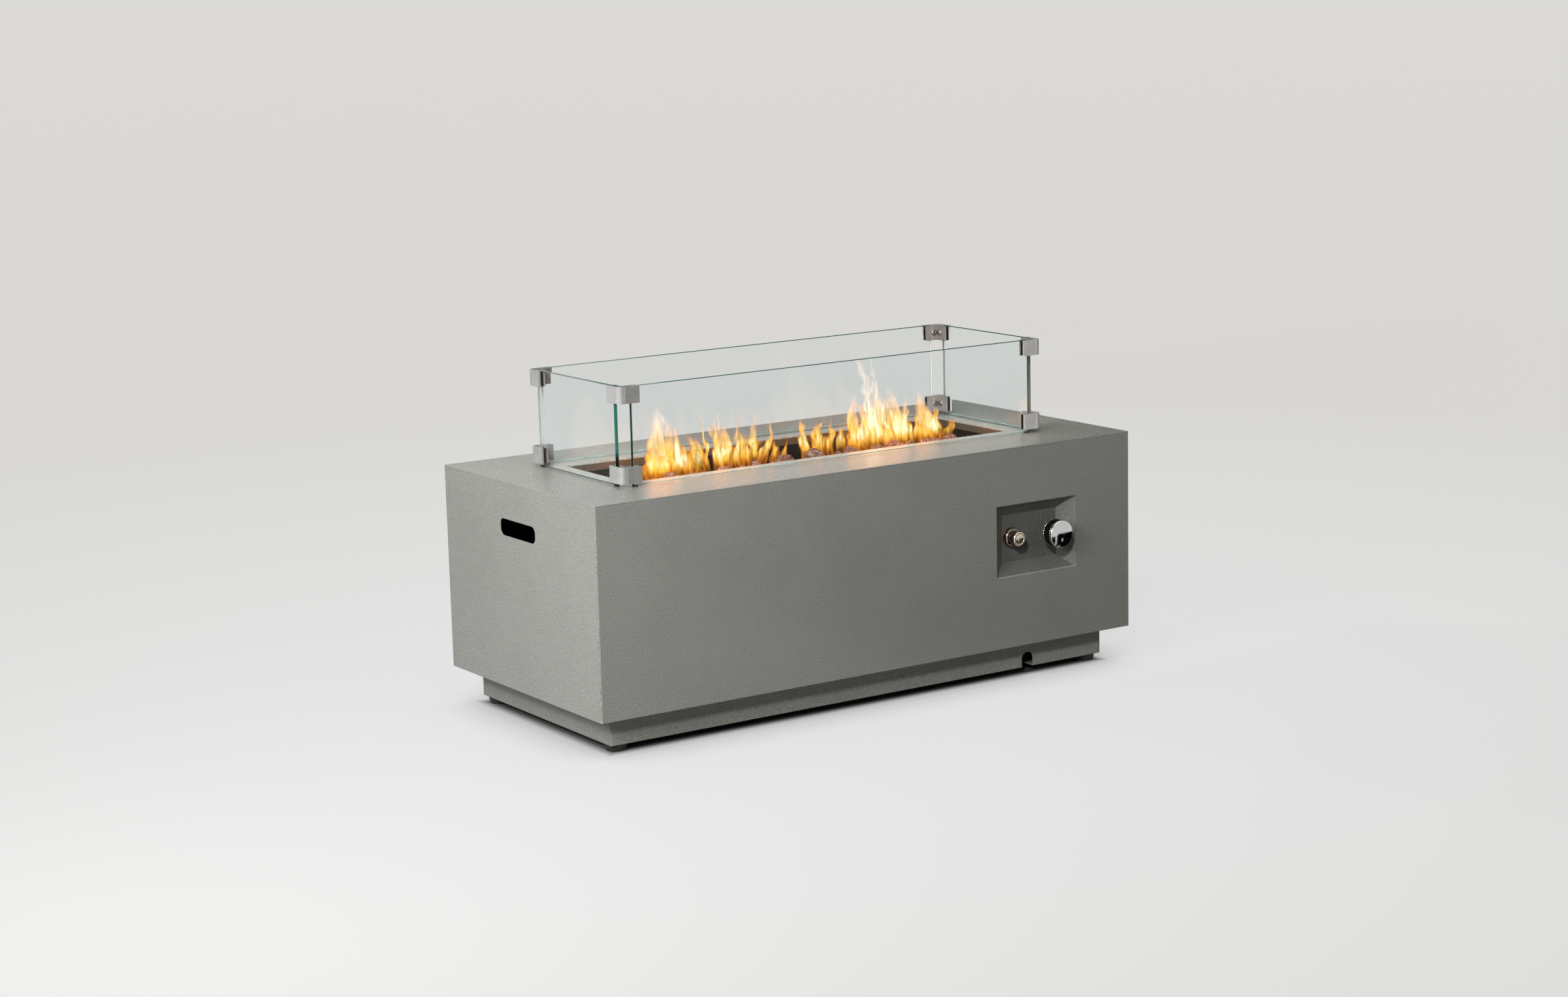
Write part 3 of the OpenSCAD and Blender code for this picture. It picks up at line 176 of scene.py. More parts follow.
def grey(value):
    """A value as a grey colour."""
    return add(graph(value), "CombineColor", {0: value, 1: value, 2: value}).outputs[0]


def shaded(colour, value):
    """A colour multiplied by a value."""
    return blend(1.0, colour, grey(value), "MULTIPLY")


def vectors(way, a, b):
    """One step on two vectors; returns its node."""
    return add(graph(a, b), "VectorMath", {0: a, 1: b}, operation=way)


def xyz(vector):
    """The three parts of a vector."""
    return add(graph(vector), "SeparateXYZ", {0: vector}).outputs


def on_surface(tree, scale=(1, 1, 1), at=(0, 0, 0)):
    """Object coordinates, shifted and stretched."""
    place = add(tree, "TexCoord").outputs["Object"]
    return add(tree, "Mapping", {"Vector": place, "Location": at, "Scale": scale}).outputs[0]


# %% [markdown]
# ## Effects that several finishes share
# Powder coat is a skin of fused grains: tiny light and dark specks over a faint cloudiness. Worked
# metal shows smears and hair-fine scratches, which live in its roughness. Edges are painted a little
# brighter, partly worn coat and partly a painted highlight along their rounding; a bevel node finds them
# by comparing the rounded normal with the flat one, and this works on CAD meshes too.

# %% Shared node groups
grain, given, result = open_group(
    "coat_grain", [("Colour", "Color", (0.3, 0.3, 0.3, 1)), ("Depth", "Float", 0.3)],
    [("Colour", "Color"), ("Roughness", "Float"), ("Height", "Float")])
at = on_surface(grain, at=(0.00073, 0, 0))
specks = noise(at, 820, 2.0, 0.6)
cloud = span(noise(at, 9, 3.0, 0.55), 0.3, 0.7, 0.955, 1.03)
streak = span(noise(at, 55), 0.3, 0.7, -0.015, 0.015)
swing = span(sums("MULTIPLY", sums("SUBTRACT", specks, 0.5), given["Depth"]), -0.7, 1.0, -0.7, 1.0)
feed(result, {"Colour": shaded(given["Colour"], sums("ADD", sums("ADD", cloud, streak), swing)),
              "Roughness": span(specks, 0.3, 0.7, 0.24, 0.38), "Height": specks})

worn_lit_edges, given, result = open_group("worn_and_lit_edges", [("Width", "Float", 0.0015)],
                                   [("Mask", "Float"), ("Normal", "Vector")])
round_normal = add(worn_lit_edges, "Bevel", {"Radius": given["Width"]}, samples=4).outputs[0]
flat_normal = add(worn_lit_edges, "NewGeometry").outputs["Normal"]
turned_by = vectors("DOT_PRODUCT", round_normal, flat_normal).outputs["Value"]
patchy = span(noise(on_surface(worn_lit_edges), 160, 3), 0.35, 0.6)
# Mask: edges made lighter in colour, a painted highlight on their rounding, broken up like worn coat
feed(result, {"Mask": sums("MULTIPLY", span(turned_by, 0.985, 0.8), patchy), "Normal": round_normal})

handled, given, result = open_group(
    "handled_metal", [("Smooth", "Float", 0.2), ("Dull", "Float", 0.35), ("Across", "Vector", (1, 1, 1))],
    [("Roughness", "Float"), ("Height", "Float"), ("Stain", "Float")])
at = on_surface(handled)
smear = noise(at, 38, 4.0, 0.6, 0.4)
lines = noise(vectors("MULTIPLY", at, given["Across"]).outputs[0], 90, 3.0)
mixed = sums("ADD", sums("MULTIPLY", smear, 0.65), sums("MULTIPLY", lines, 0.35))
feed(result, {"Roughness": span(mixed, 0.32, 0.68, given["Smooth"], given["Dull"]),
              "Height": lines, "Stain": span(smear, 0.45, 0.75)})
print("groups:", [g.name for g in bpy.data.node_groups])


# %% [markdown]
# ## Finishes of sheet metal, rubber and plastic
# Each finish is a function of a few colours, so the body and the black primer are the same recipe with
# other values. The bump is kept small: the grains of the coat stand up by a few hundredths of a
# millimetre only. The sunk panel has a thinner, darker coat of its own, partly painted shade of the
# recess, with walls painted lighter as painted light.

# %% Helpers for every finish
def start(name):
    """A new material; returns it, its node tree and its Principled shader."""
    made = bpy.data.materials.new(name)
    made.use_nodes = True
    return made, made.node_tree, made.node_tree.nodes["Principled BSDF"]


def use(tree, shared, inputs):
    """Places a shared group in a material."""
    return add(tree, "Group", inputs, node_tree=shared).outputs


def surface(shader, colour, rough, gloss=0.5, metallic=0.0):
    """Sends a colour and a roughness to the shader; gloss and metallic are constants."""
    feed(shader, {"Base Color": colour, "Roughness": rough,
                  "Specular IOR Level": gloss, "Metallic": metallic})


def bumped(shader, height, depth, strength, normal=None):
    """Sends a height to the shader's normal."""
    inputs = {"Height": height, "Distance": depth, "Strength": strength}
    if normal is not None:
        inputs["Normal"] = normal
    feed(shader, {"Normal": add(shader.id_data, "Bump", inputs).outputs[0]})


# %% Coats, rubber and plastic
def coat(name, colour, edge, depth=4.5, gloss=0.5, bump=0.0003):
    """Sand-textured powder coat; its edges are painted lighter, partly worn coat and partly a painted
    highlight.
    """
    made, tree, shader = start(name)
    skin = use(tree, grain, {"Colour": (*colour, 1), "Depth": depth})
    rims = use(tree, worn_lit_edges, {"Width": 0.0016})
    # the edges' lighter colour is a painted highlight, partly worn coat
    surface(shader, blend(rims["Mask"], skin["Colour"], edge), skin["Roughness"], gloss)
    bumped(shader, skin["Height"], bump, 0.5, rims["Normal"])
    return made


def soft_black(name, colour, dust, rough):
    """Rubber or plastic: fine moulded skin, a little dust in its hollows."""
    made, tree, shader = start(name)
    at = on_surface(tree)
    skin = noise(at, 1400)
    dusty = span(noise(at, 70, 4), 0.45, 0.8)
    surface(shader, blend(dusty, colour, dust), span(skin, 0.3, 0.7, rough - 0.08, rough + 0.08))
    bumped(shader, skin, 0.0001, 0.4)
    return made


def sooty():
    """Heat-proof black of the burner pan: matt, with grey ash and a brown bloom where it gets hot."""
    made, tree, shader = start("sooty pan black")
    at = on_surface(tree)
    ash = span(noise(at, 45, 5, 0.65), 0.5, 0.8)
    bloom = span(noise(at, 7, 3), 0.4, 0.7)
    base = blend(bloom, (0.005, 0.0046, 0.0042), (0.011, 0.0072, 0.005))
    rough = span(noise(at, 300, 3), 0.3, 0.7, 0.62, 0.85)
    surface(shader, blend(ash, base, (0.018, 0.016, 0.015)), rough, 0.05)
    bumped(shader, noise(at, 700, 3), 0.0002, 0.5, use(tree, worn_lit_edges, {"Width": 0.001})["Normal"])
    return made


def tray_coat():
    """Thin coat of the sunk panel, much darker than the body; the darkness is partly painted shade of the
    recess. Smoother than the body, so it mirrors the knob faintly, with fine scratches; the mouth's edges
    are painted lighter as a painted highlight. Its sloping walls, but for the lower one, are painted lighter
    than its floor, the right wall most: painted light where the lamps from the left fall."""
    made, tree, shader = start("recess shaded tray coat")
    facing = xyz(add(tree, "TexCoord").outputs["Normal"])
    # painted light: walls that face sideways or down are made lighter, and the right wall lighter again
    lit_wall_share = sums("MULTIPLY", span(facing[1], -0.9, -0.4), span(facing[2], 0.2, 0.6, 1, 0))
    painted_wall_light = sums("MULTIPLY", span(lit_wall_share, 0, 1, 1, 2.6), span(facing[0], -0.9, -0.5, 1.6, 1))
    # the dark base colour is partly painted shade of the recess
    skin = use(tree, grain, {"Colour": (0.083, 0.083, 0.076, 1), "Depth": 2.6})
    at = on_surface(tree, at=(0.13, 0.0, 0.07))
    thin = span(noise(on_surface(tree, (26, 26, 7)), 9, 2, 0.5, 0.8), 0.655, 0.7)
    marks = sums("MULTIPLY", thin, span(noise(at, 40), 0.5, 0.6))
    rims = use(tree, worn_lit_edges, {"Width": 0.0008})
    # scratches are wear; the rims' mask adds a painted highlight along the mouth
    scratches_and_lit_rims = sums("MAXIMUM", marks, rims["Mask"])
    tone = blend(scratches_and_lit_rims, shaded(skin["Colour"], painted_wall_light), (0.2, 0.2, 0.185))
    surface(shader, tone, span(noise(at, 30, 3), 0.35, 0.65, 0.3, 0.44), 0.2)
    bumped(shader, skin["Height"], 0.0002, 0.5, rims["Normal"])
    return made


# body colour and the lighter edge colour, which is partly a painted highlight
BODY_GREY, BODY_EDGE_LIGHT = (0.262, 0.266, 0.244), (0.36, 0.365, 0.34)
finish = {
    "coat_body": coat("grey sand coat", BODY_GREY, BODY_EDGE_LIGHT),
    "coat_dark": coat("black primer", (0.022, 0.022, 0.022), (0.07, 0.07, 0.07), 0.5),
    "pan_black": sooty(),
    "rubber_black": soft_black("black rubber", (0.011, 0.011, 0.011), (0.03, 0.03, 0.028), 0.72),
    "plastic_black": soft_black("black plastic", (0.014, 0.014, 0.015), (0.025, 0.025, 0.025), 0.5),
    "cell_wrap": soft_black("cell sleeve", (0.05, 0.055, 0.07), (0.08, 0.085, 0.1), 0.32),
    "white_ceramic": soft_black("white ceramic", (0.72, 0.7, 0.64), (0.5, 0.46, 0.4), 0.25),
}
print("finishes:", list(finish))


# %% [markdown]
# ## Finishes of bare metal
# Chrome, nickel, cast aluminium, zinc plate, brass, copper and burner steel differ in colour and in
# how their roughness runs. The burner also carries straw and blue heat colours. A plain metallic
# value goes on the shader itself; only roughness, stain and bump vary.

# %% Metals
def metal(name, colour, stain, smooth, dull, across=(1, 1, 1), bump=0.0):
    """Bare metal: its colour shifts towards a stain, its roughness between smooth and dull."""
    made, tree, shader = start(name)
    worked = use(tree, handled, {"Smooth": smooth, "Dull": dull, "Across": across})
    surface(shader, blend(worked["Stain"], colour, stain), worked["Roughness"], metallic=1.0)
    if bump:
        bumped(shader, worked["Height"], bump, 0.35)
    return made


def burner_steel():
    """Stainless steel with straw, brown and blue heat colours in soft clouds."""
    made, tree, shader = start("heated steel")
    worked = use(tree, handled, {"Smooth": 0.28, "Dull": 0.5, "Across": (0.1, 1, 1)})
    heat = add(tree, "ValToRGB", {"Fac": noise(on_surface(tree), 16, 3, 0.5, 0.6)})
    stops = heat.color_ramp.elements
    stops[0].position, stops[0].color = 0.36, (0.5, 0.49, 0.47, 1)
    stops[1].position, stops[1].color = 0.7, (0.2, 0.21, 0.27, 1)
    stops.new(0.5).color = (0.5, 0.4, 0.26, 1)
    stops.new(0.6).color = (0.3, 0.2, 0.16, 1)
    surface(shader, heat.outputs["Color"], worked["Roughness"], metallic=1.0)
    bumped(shader, worked["Height"], 0.0001, 0.3, use(tree, worn_lit_edges, {"Width": 0.0006})["Normal"])
    return made


# the guard's round corners lie where x is this much further out than y
CORNER_LEAD = 0.265


def clamp_cast(name, tone):
    """Satin cast aluminium: fine grains and a thin parting line down each round corner; tone makes it
    lighter or darker, and a low tone makes a shaded copy. The faces to the front get painted light, lighter
    towards the right."""
    made, tree, shader = start(name)
    at = on_surface(tree)
    grains = noise(at, 800, 3, 0.6)
    place = xyz(at)
    lead = sums("SUBTRACT", sums("ABSOLUTE", place[0]), sums("ABSOLUTE", place[1]))
    line = span(sums("ABSOLUTE", sums("SUBTRACT", lead, CORNER_LEAD)), 0.0003, 0.0012, 1, 0)
    deep, pale, bright = (tuple(tone * v for v in shade) for shade in (
        (0.37, 0.37, 0.366), (0.43, 0.43, 0.425), (0.62, 0.62, 0.6)))
    cast = blend(span(noise(at, 60, 3), 0.35, 0.65), deep, pale)
    marked = blend(line, shaded(cast, span(grains, 0.3, 0.7, 0.86, 1.12)), bright)
    # painted light: front faces are darker at the left and lighter at the right
    front = span(xyz(add(tree, "TexCoord").outputs["Normal"])[1], -0.6, -0.9)
    lift = sums("ADD", sums("MULTIPLY", front, span(place[0], -0.36, 0.36, -0.28, 0.6)), 1)
    surface(shader, shaded(marked, lift), span(grains, 0.3, 0.7, 0.6, 0.76), 0.25, 0.2)
    bumped(shader, grains, 0.00008, 0.4, use(tree, worn_lit_edges, {"Width": 0.0007})["Normal"])
    return made


finish |= {
    "steel": burner_steel(),
    "zinc": metal("zinc plate", (0.6, 0.61, 0.62), (0.45, 0.46, 0.47), 0.25, 0.42, (1, 1, 1), 0.00005),
    "clamp_metal": clamp_cast("satin clamp metal", 0.92),
    "chrome": metal("mirror chrome", (0.72, 0.72, 0.73), (0.66, 0.66, 0.67), 0.03, 0.08),
    "nickel": metal("warm nickel", (0.72, 0.63, 0.53), (0.66, 0.57, 0.47), 0.06, 0.14),
    "brass": metal("turned brass", (0.68, 0.5, 0.2), (0.45, 0.3, 0.12), 0.22, 0.38, (1, 1, 0.2), 0.00005),
    "copper": metal("drawn copper", (0.7, 0.38, 0.24), (0.4, 0.2, 0.12), 0.25, 0.42, (0.2, 1, 1), 0.00005),
}
print("finishes:", len(finish))

# %% [markdown]
# ## Stone and glass
# Lava rock is froth turned to stone: red-brown with grey ash on top, and pits at every size, so
# cell noise cuts pores into its bump and darkens them, a painted shade in the pits. The panes are clear;
# their colour only shows at the ground edges, where one looks along the glass, so faces and edges get a
# finish each.

# %% Lava rock and glass
def lava():
    """Porous red-brown stone; pores of two sizes are sunk and painted dark, a painted shade in the pits."""
    made, tree, shader = start("lava rock")
    at = on_surface(tree)
    big, small = (add(tree, "TexVoronoi", {"Vector": at, "Scale": s}).outputs["Distance"] for s in (330, 900))
    pores = sums("MINIMUM", span(big, 0.22, 0.5), span(small, 0.1, 0.45, 0.25, 1))
    tint = blend(span(noise(at, 34, 3), 0.35, 0.65), (0.22, 0.085, 0.05), (0.34, 0.155, 0.1))
    ashy = blend(span(noise(at, 90, 4), 0.52, 0.75), tint, (0.5, 0.36, 0.28))
    # painted shade: the pores darken the colour down to a tenth
    surface(shader, shaded(ashy, span(pores, 0, 1, 0.1, 1.0)), span(pores, 0, 1, 0.95, 0.8))
    bumped(shader, sums("ADD", pores, noise(at, 500, 3)), 0.0025, 1.0)
    return made


def pane_face():
    """Clear glass with the faintest finger haze."""
    made, tree, shader = start("clear pane")
    haze = noise(on_surface(tree), 12, 4, 0.6, 0.5)
    tint = blend(span(haze, 0.3, 0.8), (0.941, 0.968, 0.975), (0.921, 0.949, 0.956))
    surface(shader, tint, span(haze, 0.5, 0.8, 0.0, 0.025))
    feed(shader, {"Transmission Weight": 1.0, "IOR": 1.2})
    return made


def pane_edge(name, lower, upper, height=0.45):
    """Polished edge: light that leaves here has run along the pane and turned green, so it looks solid.
    The colour changes from lower to upper at this height, with faint waves along the edge; the two colours,
    and the copies for each pane, are painted light and shade."""
    made, tree, shader = start(name)
    at = on_surface(tree)
    wave = span(noise(on_surface(tree, (1, 1, 0.15)), 26, 3), 0.35, 0.65, 0.75, 1.25)
    tone = blend(span(xyz(at)[2], height - 0.007, height + 0.007), lower, upper)
    surface(shader, shaded(tone, wave), span(noise(at, 300), 0.3, 0.7, 0.06, 0.2), 0.2)
    return made


finish |= {"rock": lava(), "clear_glass": pane_face()}
# edges and upright ends get lighter or darker copies for each pane: painted light and shade
edge_green = pane_edge("green pane edge", (0.19, 0.29, 0.27), (0.05, 0.13, 0.115))
edge_shaded = pane_edge("shaded pane edge", (0.03, 0.06, 0.054), (0.04, 0.11, 0.1))
pale_lit_end = pane_edge("grey pane end", (0.17, 0.19, 0.186), (0.2, 0.225, 0.22))
lit_and_shaded_ends = {
    "glass_front": pane_edge("dark pane end", (0.002, 0.008, 0.007), (0.003, 0.02, 0.016)),
    "glass_back": pane_edge("pale pane end", (0.36, 0.4, 0.39), (0.42, 0.46, 0.45)),
    "glass_left": pane_edge("teal pane end", (0.002, 0.01, 0.008), (0.03, 0.2, 0.15), 0.46),
    "glass_right": pale_lit_end,
}
print("pane ends:", list(lit_and_shaded_ends))

# %% Each node gets its finish
for row in frame["record"]["subparts"]:
    shown = cad[row["node"]]
    if not shown.material_slots:
        shown.data.materials.append(None)
    for place in shown.material_slots:
        place.material = finish[row["material_slot"]]

# pieces with a finish of their own: the inner clamp plates get a darker copy as painted shade, the lip
# a dark warm coat as painted shade and painted firelight, and the plinth's sides copies of the body coat
# made lighter at the front and darker at the left as painted light and shade
PLINTH_LIGHT_AND_SHADE = {"plinth_front": 1.22, "plinth_left": 0.86, "plinth_right": 1.0, "plinth_back": 1.0}
own_finish = {
    "control_tray": tray_coat(),
    "clamp_plates": clamp_cast("shaded clamp metal", 0.5),
    "lip_frame": coat("shaded fire-lit lip coat", (0.062, 0.05, 0.041), (0.16, 0.135, 0.11), 2.0),
}
for node, tone in PLINTH_LIGHT_AND_SHADE.items():
    shade = tuple(tone * v for v in BODY_GREY)
    own_finish[node] = coat(node + " coat", shade, BODY_EDGE_LIGHT, 2.6, 0.3, 0.0001)
for node, material in own_finish.items():
    cad[node].material_slots[0].material = material


# %% [markdown]
# ## Surfaces from two parameters
# Every new piece is a grid of points: rows run along one parameter, columns round the other. The
# builder joins the grid's neighbours with quads, closes ends where asked, welds poles, turns the
# faces outwards and hands the piece to the body it moves with.

# %% From point grids to pieces
def quads(rows, cols, first, closed):
    """Corner numbers of a grid's quads; closed joins the last column to the first."""
    row = np.arange(rows - 1)[:, None] * cols
    col = np.arange(cols if closed else cols - 1)[None, :]
    ahead = (col + 1) % cols
    corners = np.stack([row + col, row + ahead, row + cols + ahead, row + cols + col], -1)
    return (corners + first).reshape(-1, 4)


def piece(name, grids, materials, body, stands_for=(), closed=True, ends=False, paint=None, sharp=40):
    """A mesh of several point grids (rows, columns, xyz). ends closes each grid's first and last row with
    a face; paint gives the material of each row of quads; sharp is the crease angle in degrees."""
    points, faces, slots = [], [], []
    first = 0
    for grid in grids:
        rows, cols = grid.shape[:2]
        found = quads(rows, cols, first, closed)
        points.append(grid.reshape(-1, 3))
        faces += found.tolist()
        bands = np.zeros(rows - 1, int) if paint is None else np.asarray(paint)
        slots += np.repeat(bands, len(found) // (rows - 1)).tolist()
        if ends:
            ring = np.arange(cols) + first
            faces += [ring[::-1].tolist(), (ring + (rows - 1) * cols).tolist()]
            slots += [0, 0]
        first += rows * cols
    mesh = bpy.data.meshes.new(name)
    mesh.from_pydata(np.concatenate(points).tolist(), [], faces)
    for material in materials:
        mesh.materials.append(material)
    mesh.polygons.foreach_set("material_index", slots)
    work = bmesh.new()
    work.from_mesh(mesh)
    bmesh.ops.remove_doubles(work, verts=work.verts, dist=1e-7)
    bmesh.ops.recalc_face_normals(work, faces=work.faces)
    work.to_mesh(mesh)
    work.free()
    mesh.shade_smooth()
    mesh.set_sharp_from_angle(angle=np.radians(sharp))
    made = show(name, mesh)
    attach(made, body)
    if stands_for:
        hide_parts(*stands_for)
    print(f"{name}: {len(mesh.polygons)} faces on {body}")
    return made


def face_values(made, what, width=3, kind=np.float32):
    """One value of every face: its normal, its centre or its material number."""
    values = np.empty(len(made.data.polygons) * width, kind)
    made.data.polygons.foreach_get(what, values)
    return values.reshape(-1, width)


# %% Turned shapes and round corners
def circle(count):
    """Angles of this many points round a circle."""
    return np.linspace(0, 2 * np.pi, count, endpoint=False)


def turned(profile, centre, axis, segments=96, ribs=None):
    """A turned shape: each profile row (radius, place along the axis) becomes a ring about the axis
    through centre. ribs, if given, is added to the radius: an array of rows by segments."""
    angle = circle(segments)
    radius = np.repeat(profile[:, :1], segments, 1)
    if ribs is not None:
        radius = radius + ribs
    across = [k for k in range(3) if k != axis]
    grid = np.empty((*radius.shape, 3))
    grid[..., across[0]] = centre[across[0]] + radius * np.cos(angle)
    grid[..., across[1]] = centre[across[1]] + radius * np.sin(angle)
    grid[..., axis] = profile[:, 1:]
    return grid


def softened(corners, radius, steps=5):
    """A polyline with round corners: each corner is swapped for a parabola that leaves its sides at
    radius from it, or at half the shorter side."""
    corners = np.asarray(corners, float)
    share = np.linspace(0, 1, steps)[:, None]
    line = [corners[:1]]
    for before, here, after in zip(corners[:-2], corners[1:-1], corners[2:]):
        reach = min(radius, 0.5 * np.linalg.norm(here - before), 0.5 * np.linalg.norm(after - here))
        a = here + (before - here) * reach / np.linalg.norm(before - here)
        b = here + (after - here) * reach / np.linalg.norm(after - here)
        line.append((1 - share) ** 2 * a + 2 * share * (1 - share) * here + share ** 2 * b)
    return np.concatenate(line + [corners[-1:]])


# %% Places and sizes of CAD nodes
def box_of(node):
    """Lowest and highest corner of a CAD node."""
    return np.array(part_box(node))


def round_part(node):
    """Centre, radius, front and rear of a CAD node that is turned about an axis along y."""
    low, high = box_of(node)
    return (low + high) / 2, (high[0] - low[0]) / 2, low[1], high[1]


def centres(node):
    """Centre and half size of each separate lump of a CAD node: equal corners are merged, and every
    triangle passes on its lowest corner number until nothing changes."""
    mesh = cad[node].data
    flat = np.empty(len(mesh.vertices) * 3, np.float32)
    mesh.vertices.foreach_get("co", flat)
    spots, which = np.unique(flat.reshape(-1, 3).round(6), axis=0, return_inverse=True)
    mesh.calc_loop_triangles()
    tris = np.empty(len(mesh.loop_triangles) * 3, np.int32)
    mesh.loop_triangles.foreach_get("vertices", tris)
    tris = which.reshape(-1)[tris].reshape(-1, 3)
    label = np.arange(len(spots))
    while True:
        low = label[tris].min(1)
        new = label.copy()
        np.minimum.at(new, tris.reshape(-1), np.repeat(low, 3))
        if (new == label).all():
            break
        label = new
    names = np.unique(label)
    low = np.array([spots[label == n].min(0) for n in names])
    high = np.array([spots[label == n].max(0) for n in names])
    return (low + high) / 2, (high - low) / 2


# %% [markdown]
# ## Glass panes
# Toughened glass has ground and polished rims. A pane could be a cube with a bevel, but its faces and
# its rim need their own finish. So a round-cornered outline is carried through a row of insets: flat
# face, a quarter-round arris, the rim, the other arris and the other face.

# %% Outlines and plates
def round_outline(half_a, half_b, radius, steps=5):
    """Anticlockwise outline of a rectangle with a quarter circle at each corner."""
    angle = np.linspace(0, np.pi / 2, steps)[None, :] + np.arange(4)[:, None] * np.pi / 2
    side = np.array([[1, 1], [-1, 1], [-1, -1], [1, -1]])[:, None, :]
    arc = np.stack([np.cos(angle), np.sin(angle)], -1) * radius
    return (side * [half_a - radius, half_b - radius] + arc).reshape(-1, 2)


def inset(outline, amount):
    """The outline moved inwards: each point goes along the mitre of its two sides."""
    ahead = np.roll(outline, -1, 0) - outline
    ahead /= np.linalg.norm(ahead, axis=1, keepdims=True)
    inward = np.stack([-ahead[:, 1], ahead[:, 0]], 1)
    other = np.roll(inward, 1, 0)
    return outline + amount * (inward + other) / (1 + (inward * other).sum(1, keepdims=True))


def slab(outline, low, high, arris, steps=4):
    """Rings of a plate: the outline at each inset and height, from the lower face over a quarter-round
    arris, the rim and the upper arris to the upper face."""
    angle = np.linspace(0, np.pi / 2, steps)
    pull, lift = arris * (1 - np.sin(angle)), arris * (1 - np.cos(angle))
    insets = np.concatenate([[2.5 * arris], pull, pull[::-1], [2.5 * arris]])
    heights = np.concatenate([[low], low + lift, high - lift[::-1], [high]])
    return np.stack([np.insert(inset(outline, d), 2, h, axis=1) for d, h in zip(insets, heights)])


# %% The four panes of the guard
PANE_CORNER, ARRIS = 0.002, 0.0007
for node in ("glass_front", "glass_back", "glass_left", "glass_right"):
    low, high = box_of(node)
    middle, half = (low + high) / 2, (high - low) / 2
    thin = int(np.argmin(half))
    wide = 1 - thin
    rings = slab(round_outline(half[wide], half[2], PANE_CORNER), low[thin], high[thin], ARRIS)
    grid = np.empty(rings.shape)
    grid[..., [wide, 2, thin]] = rings + [middle[wide], middle[2], 0]
    rim = np.ones(len(rings) - 1, int)
    rim[[0, -1]] = 0
    # the left pane's edge gets the shaded copy: painted shade
    edge = edge_shaded if node == "glass_left" else edge_green
    pane = piece(node + "_pane", [grid], [finish["clear_glass"], edge, lit_and_shaded_ends[node], pale_lit_end],
                 "glass_guard", [node], ends=True, paint=rim, sharp=30)
    facing = face_values(pane, "normal")
    part = face_values(pane, "material_index", 1, np.int32)[:, 0]
    # upright ends facing back get the pale copy, the others their pane's own: painted light and shade
    upright_end = (part == 1) & (np.abs(facing[:, wide]) > 0.7)
    end_part = np.where(facing[:, 1] > 0.7, 3, 2)
    pane.data.polygons.foreach_set("material_index", np.where(upright_end, end_part, part))
    pane.visible_shadow = False

# %% [markdown]
# ## Clamp screws
# Button-head screws pull each inner plate against the glass. A head is a turned dome, but its socket is
# a hexagon, so the inner rings are not circles: the distance to a hexagon's side is its inscribed radius
# divided by the cosine of the angle to the nearest flat.

# %% Button heads with a hexagon socket
SHANK_R, HEAD, DOME, SOCKET = 0.002, 0.0022, 0.0021, 0.0014
# how much wider the head is than the CAD screw, and the number of points round it
HEAD_SCALE, SCREW_SIDES = 1.3, 36


def button_screw(centre, half):
    """Rings of one screw: shank tip, shank, under the head, rim, dome, socket wall, socket floor. The
    head faces the inside of the guard."""
    axis = int(np.argmax(half[:2]))
    inward = -np.sign(centre[axis])
    radius = HEAD_SCALE * half[2]
    angle = circle(SCREW_SIDES)
    hexagon = SOCKET / np.cos((angle + np.pi / 6) % (np.pi / 3) - np.pi / 6)
    length = 2 * half[axis]
    arc = np.linspace(0, 0.42 * np.pi, 7)
    rounds = [(0.0001, 0.0), (SHANK_R - 0.0001, 0.0), (SHANK_R, 0.0002), (SHANK_R, length - HEAD),
              (radius - 0.0002, length - HEAD)]
    rounds += [(radius * np.cos(a) ** 0.8, length - DOME + DOME * np.sin(a) / np.sin(arc[-1])) for a in arc]
    spread = np.array([np.full(SCREW_SIDES, r) for r, _ in rounds]
                      + [hexagon * 1.12, hexagon, hexagon, hexagon * 0.02])
    along = np.array([h for _, h in rounds] + [length, length - 0.0002, length - SOCKET, length - SOCKET])
    grid = np.empty((*spread.shape, 3))
    grid[..., axis] = centre[axis] + inward * (along[:, None] - length / 2)
    grid[..., 1 - axis] = centre[1 - axis] + spread * np.cos(angle)
    grid[..., 2] = centre[2] + spread * np.sin(angle)
    return grid


screw_steel = metal("screw steel", (0.34, 0.34, 0.34), (0.22, 0.22, 0.23), 0.14, 0.26)
screws = [button_screw(c, h) for c, h in zip(*centres("clamp_screws"))]
piece("clamp_button_screws", screws, [screw_steel], "glass_guard", ["clamp_screws"],
      ends=True, sharp=35)

# %% [markdown]
# ## Knob and igniter
# The gas knob is a chromed die casting: a smooth collar, a band of fine ribs that fingers grip, and a
# domed mirror face; the ribbed band and the collar's side are painted dark, a painted reflection of the
# dark recess. The igniter is a nickel-plated push button in a bell-shaped ring; the ring and the button's
# side get a darker nickel as a painted reflection. All are turned shapes; the ribs are a cosine round the
# circle, faded in and out at both ends of the band.

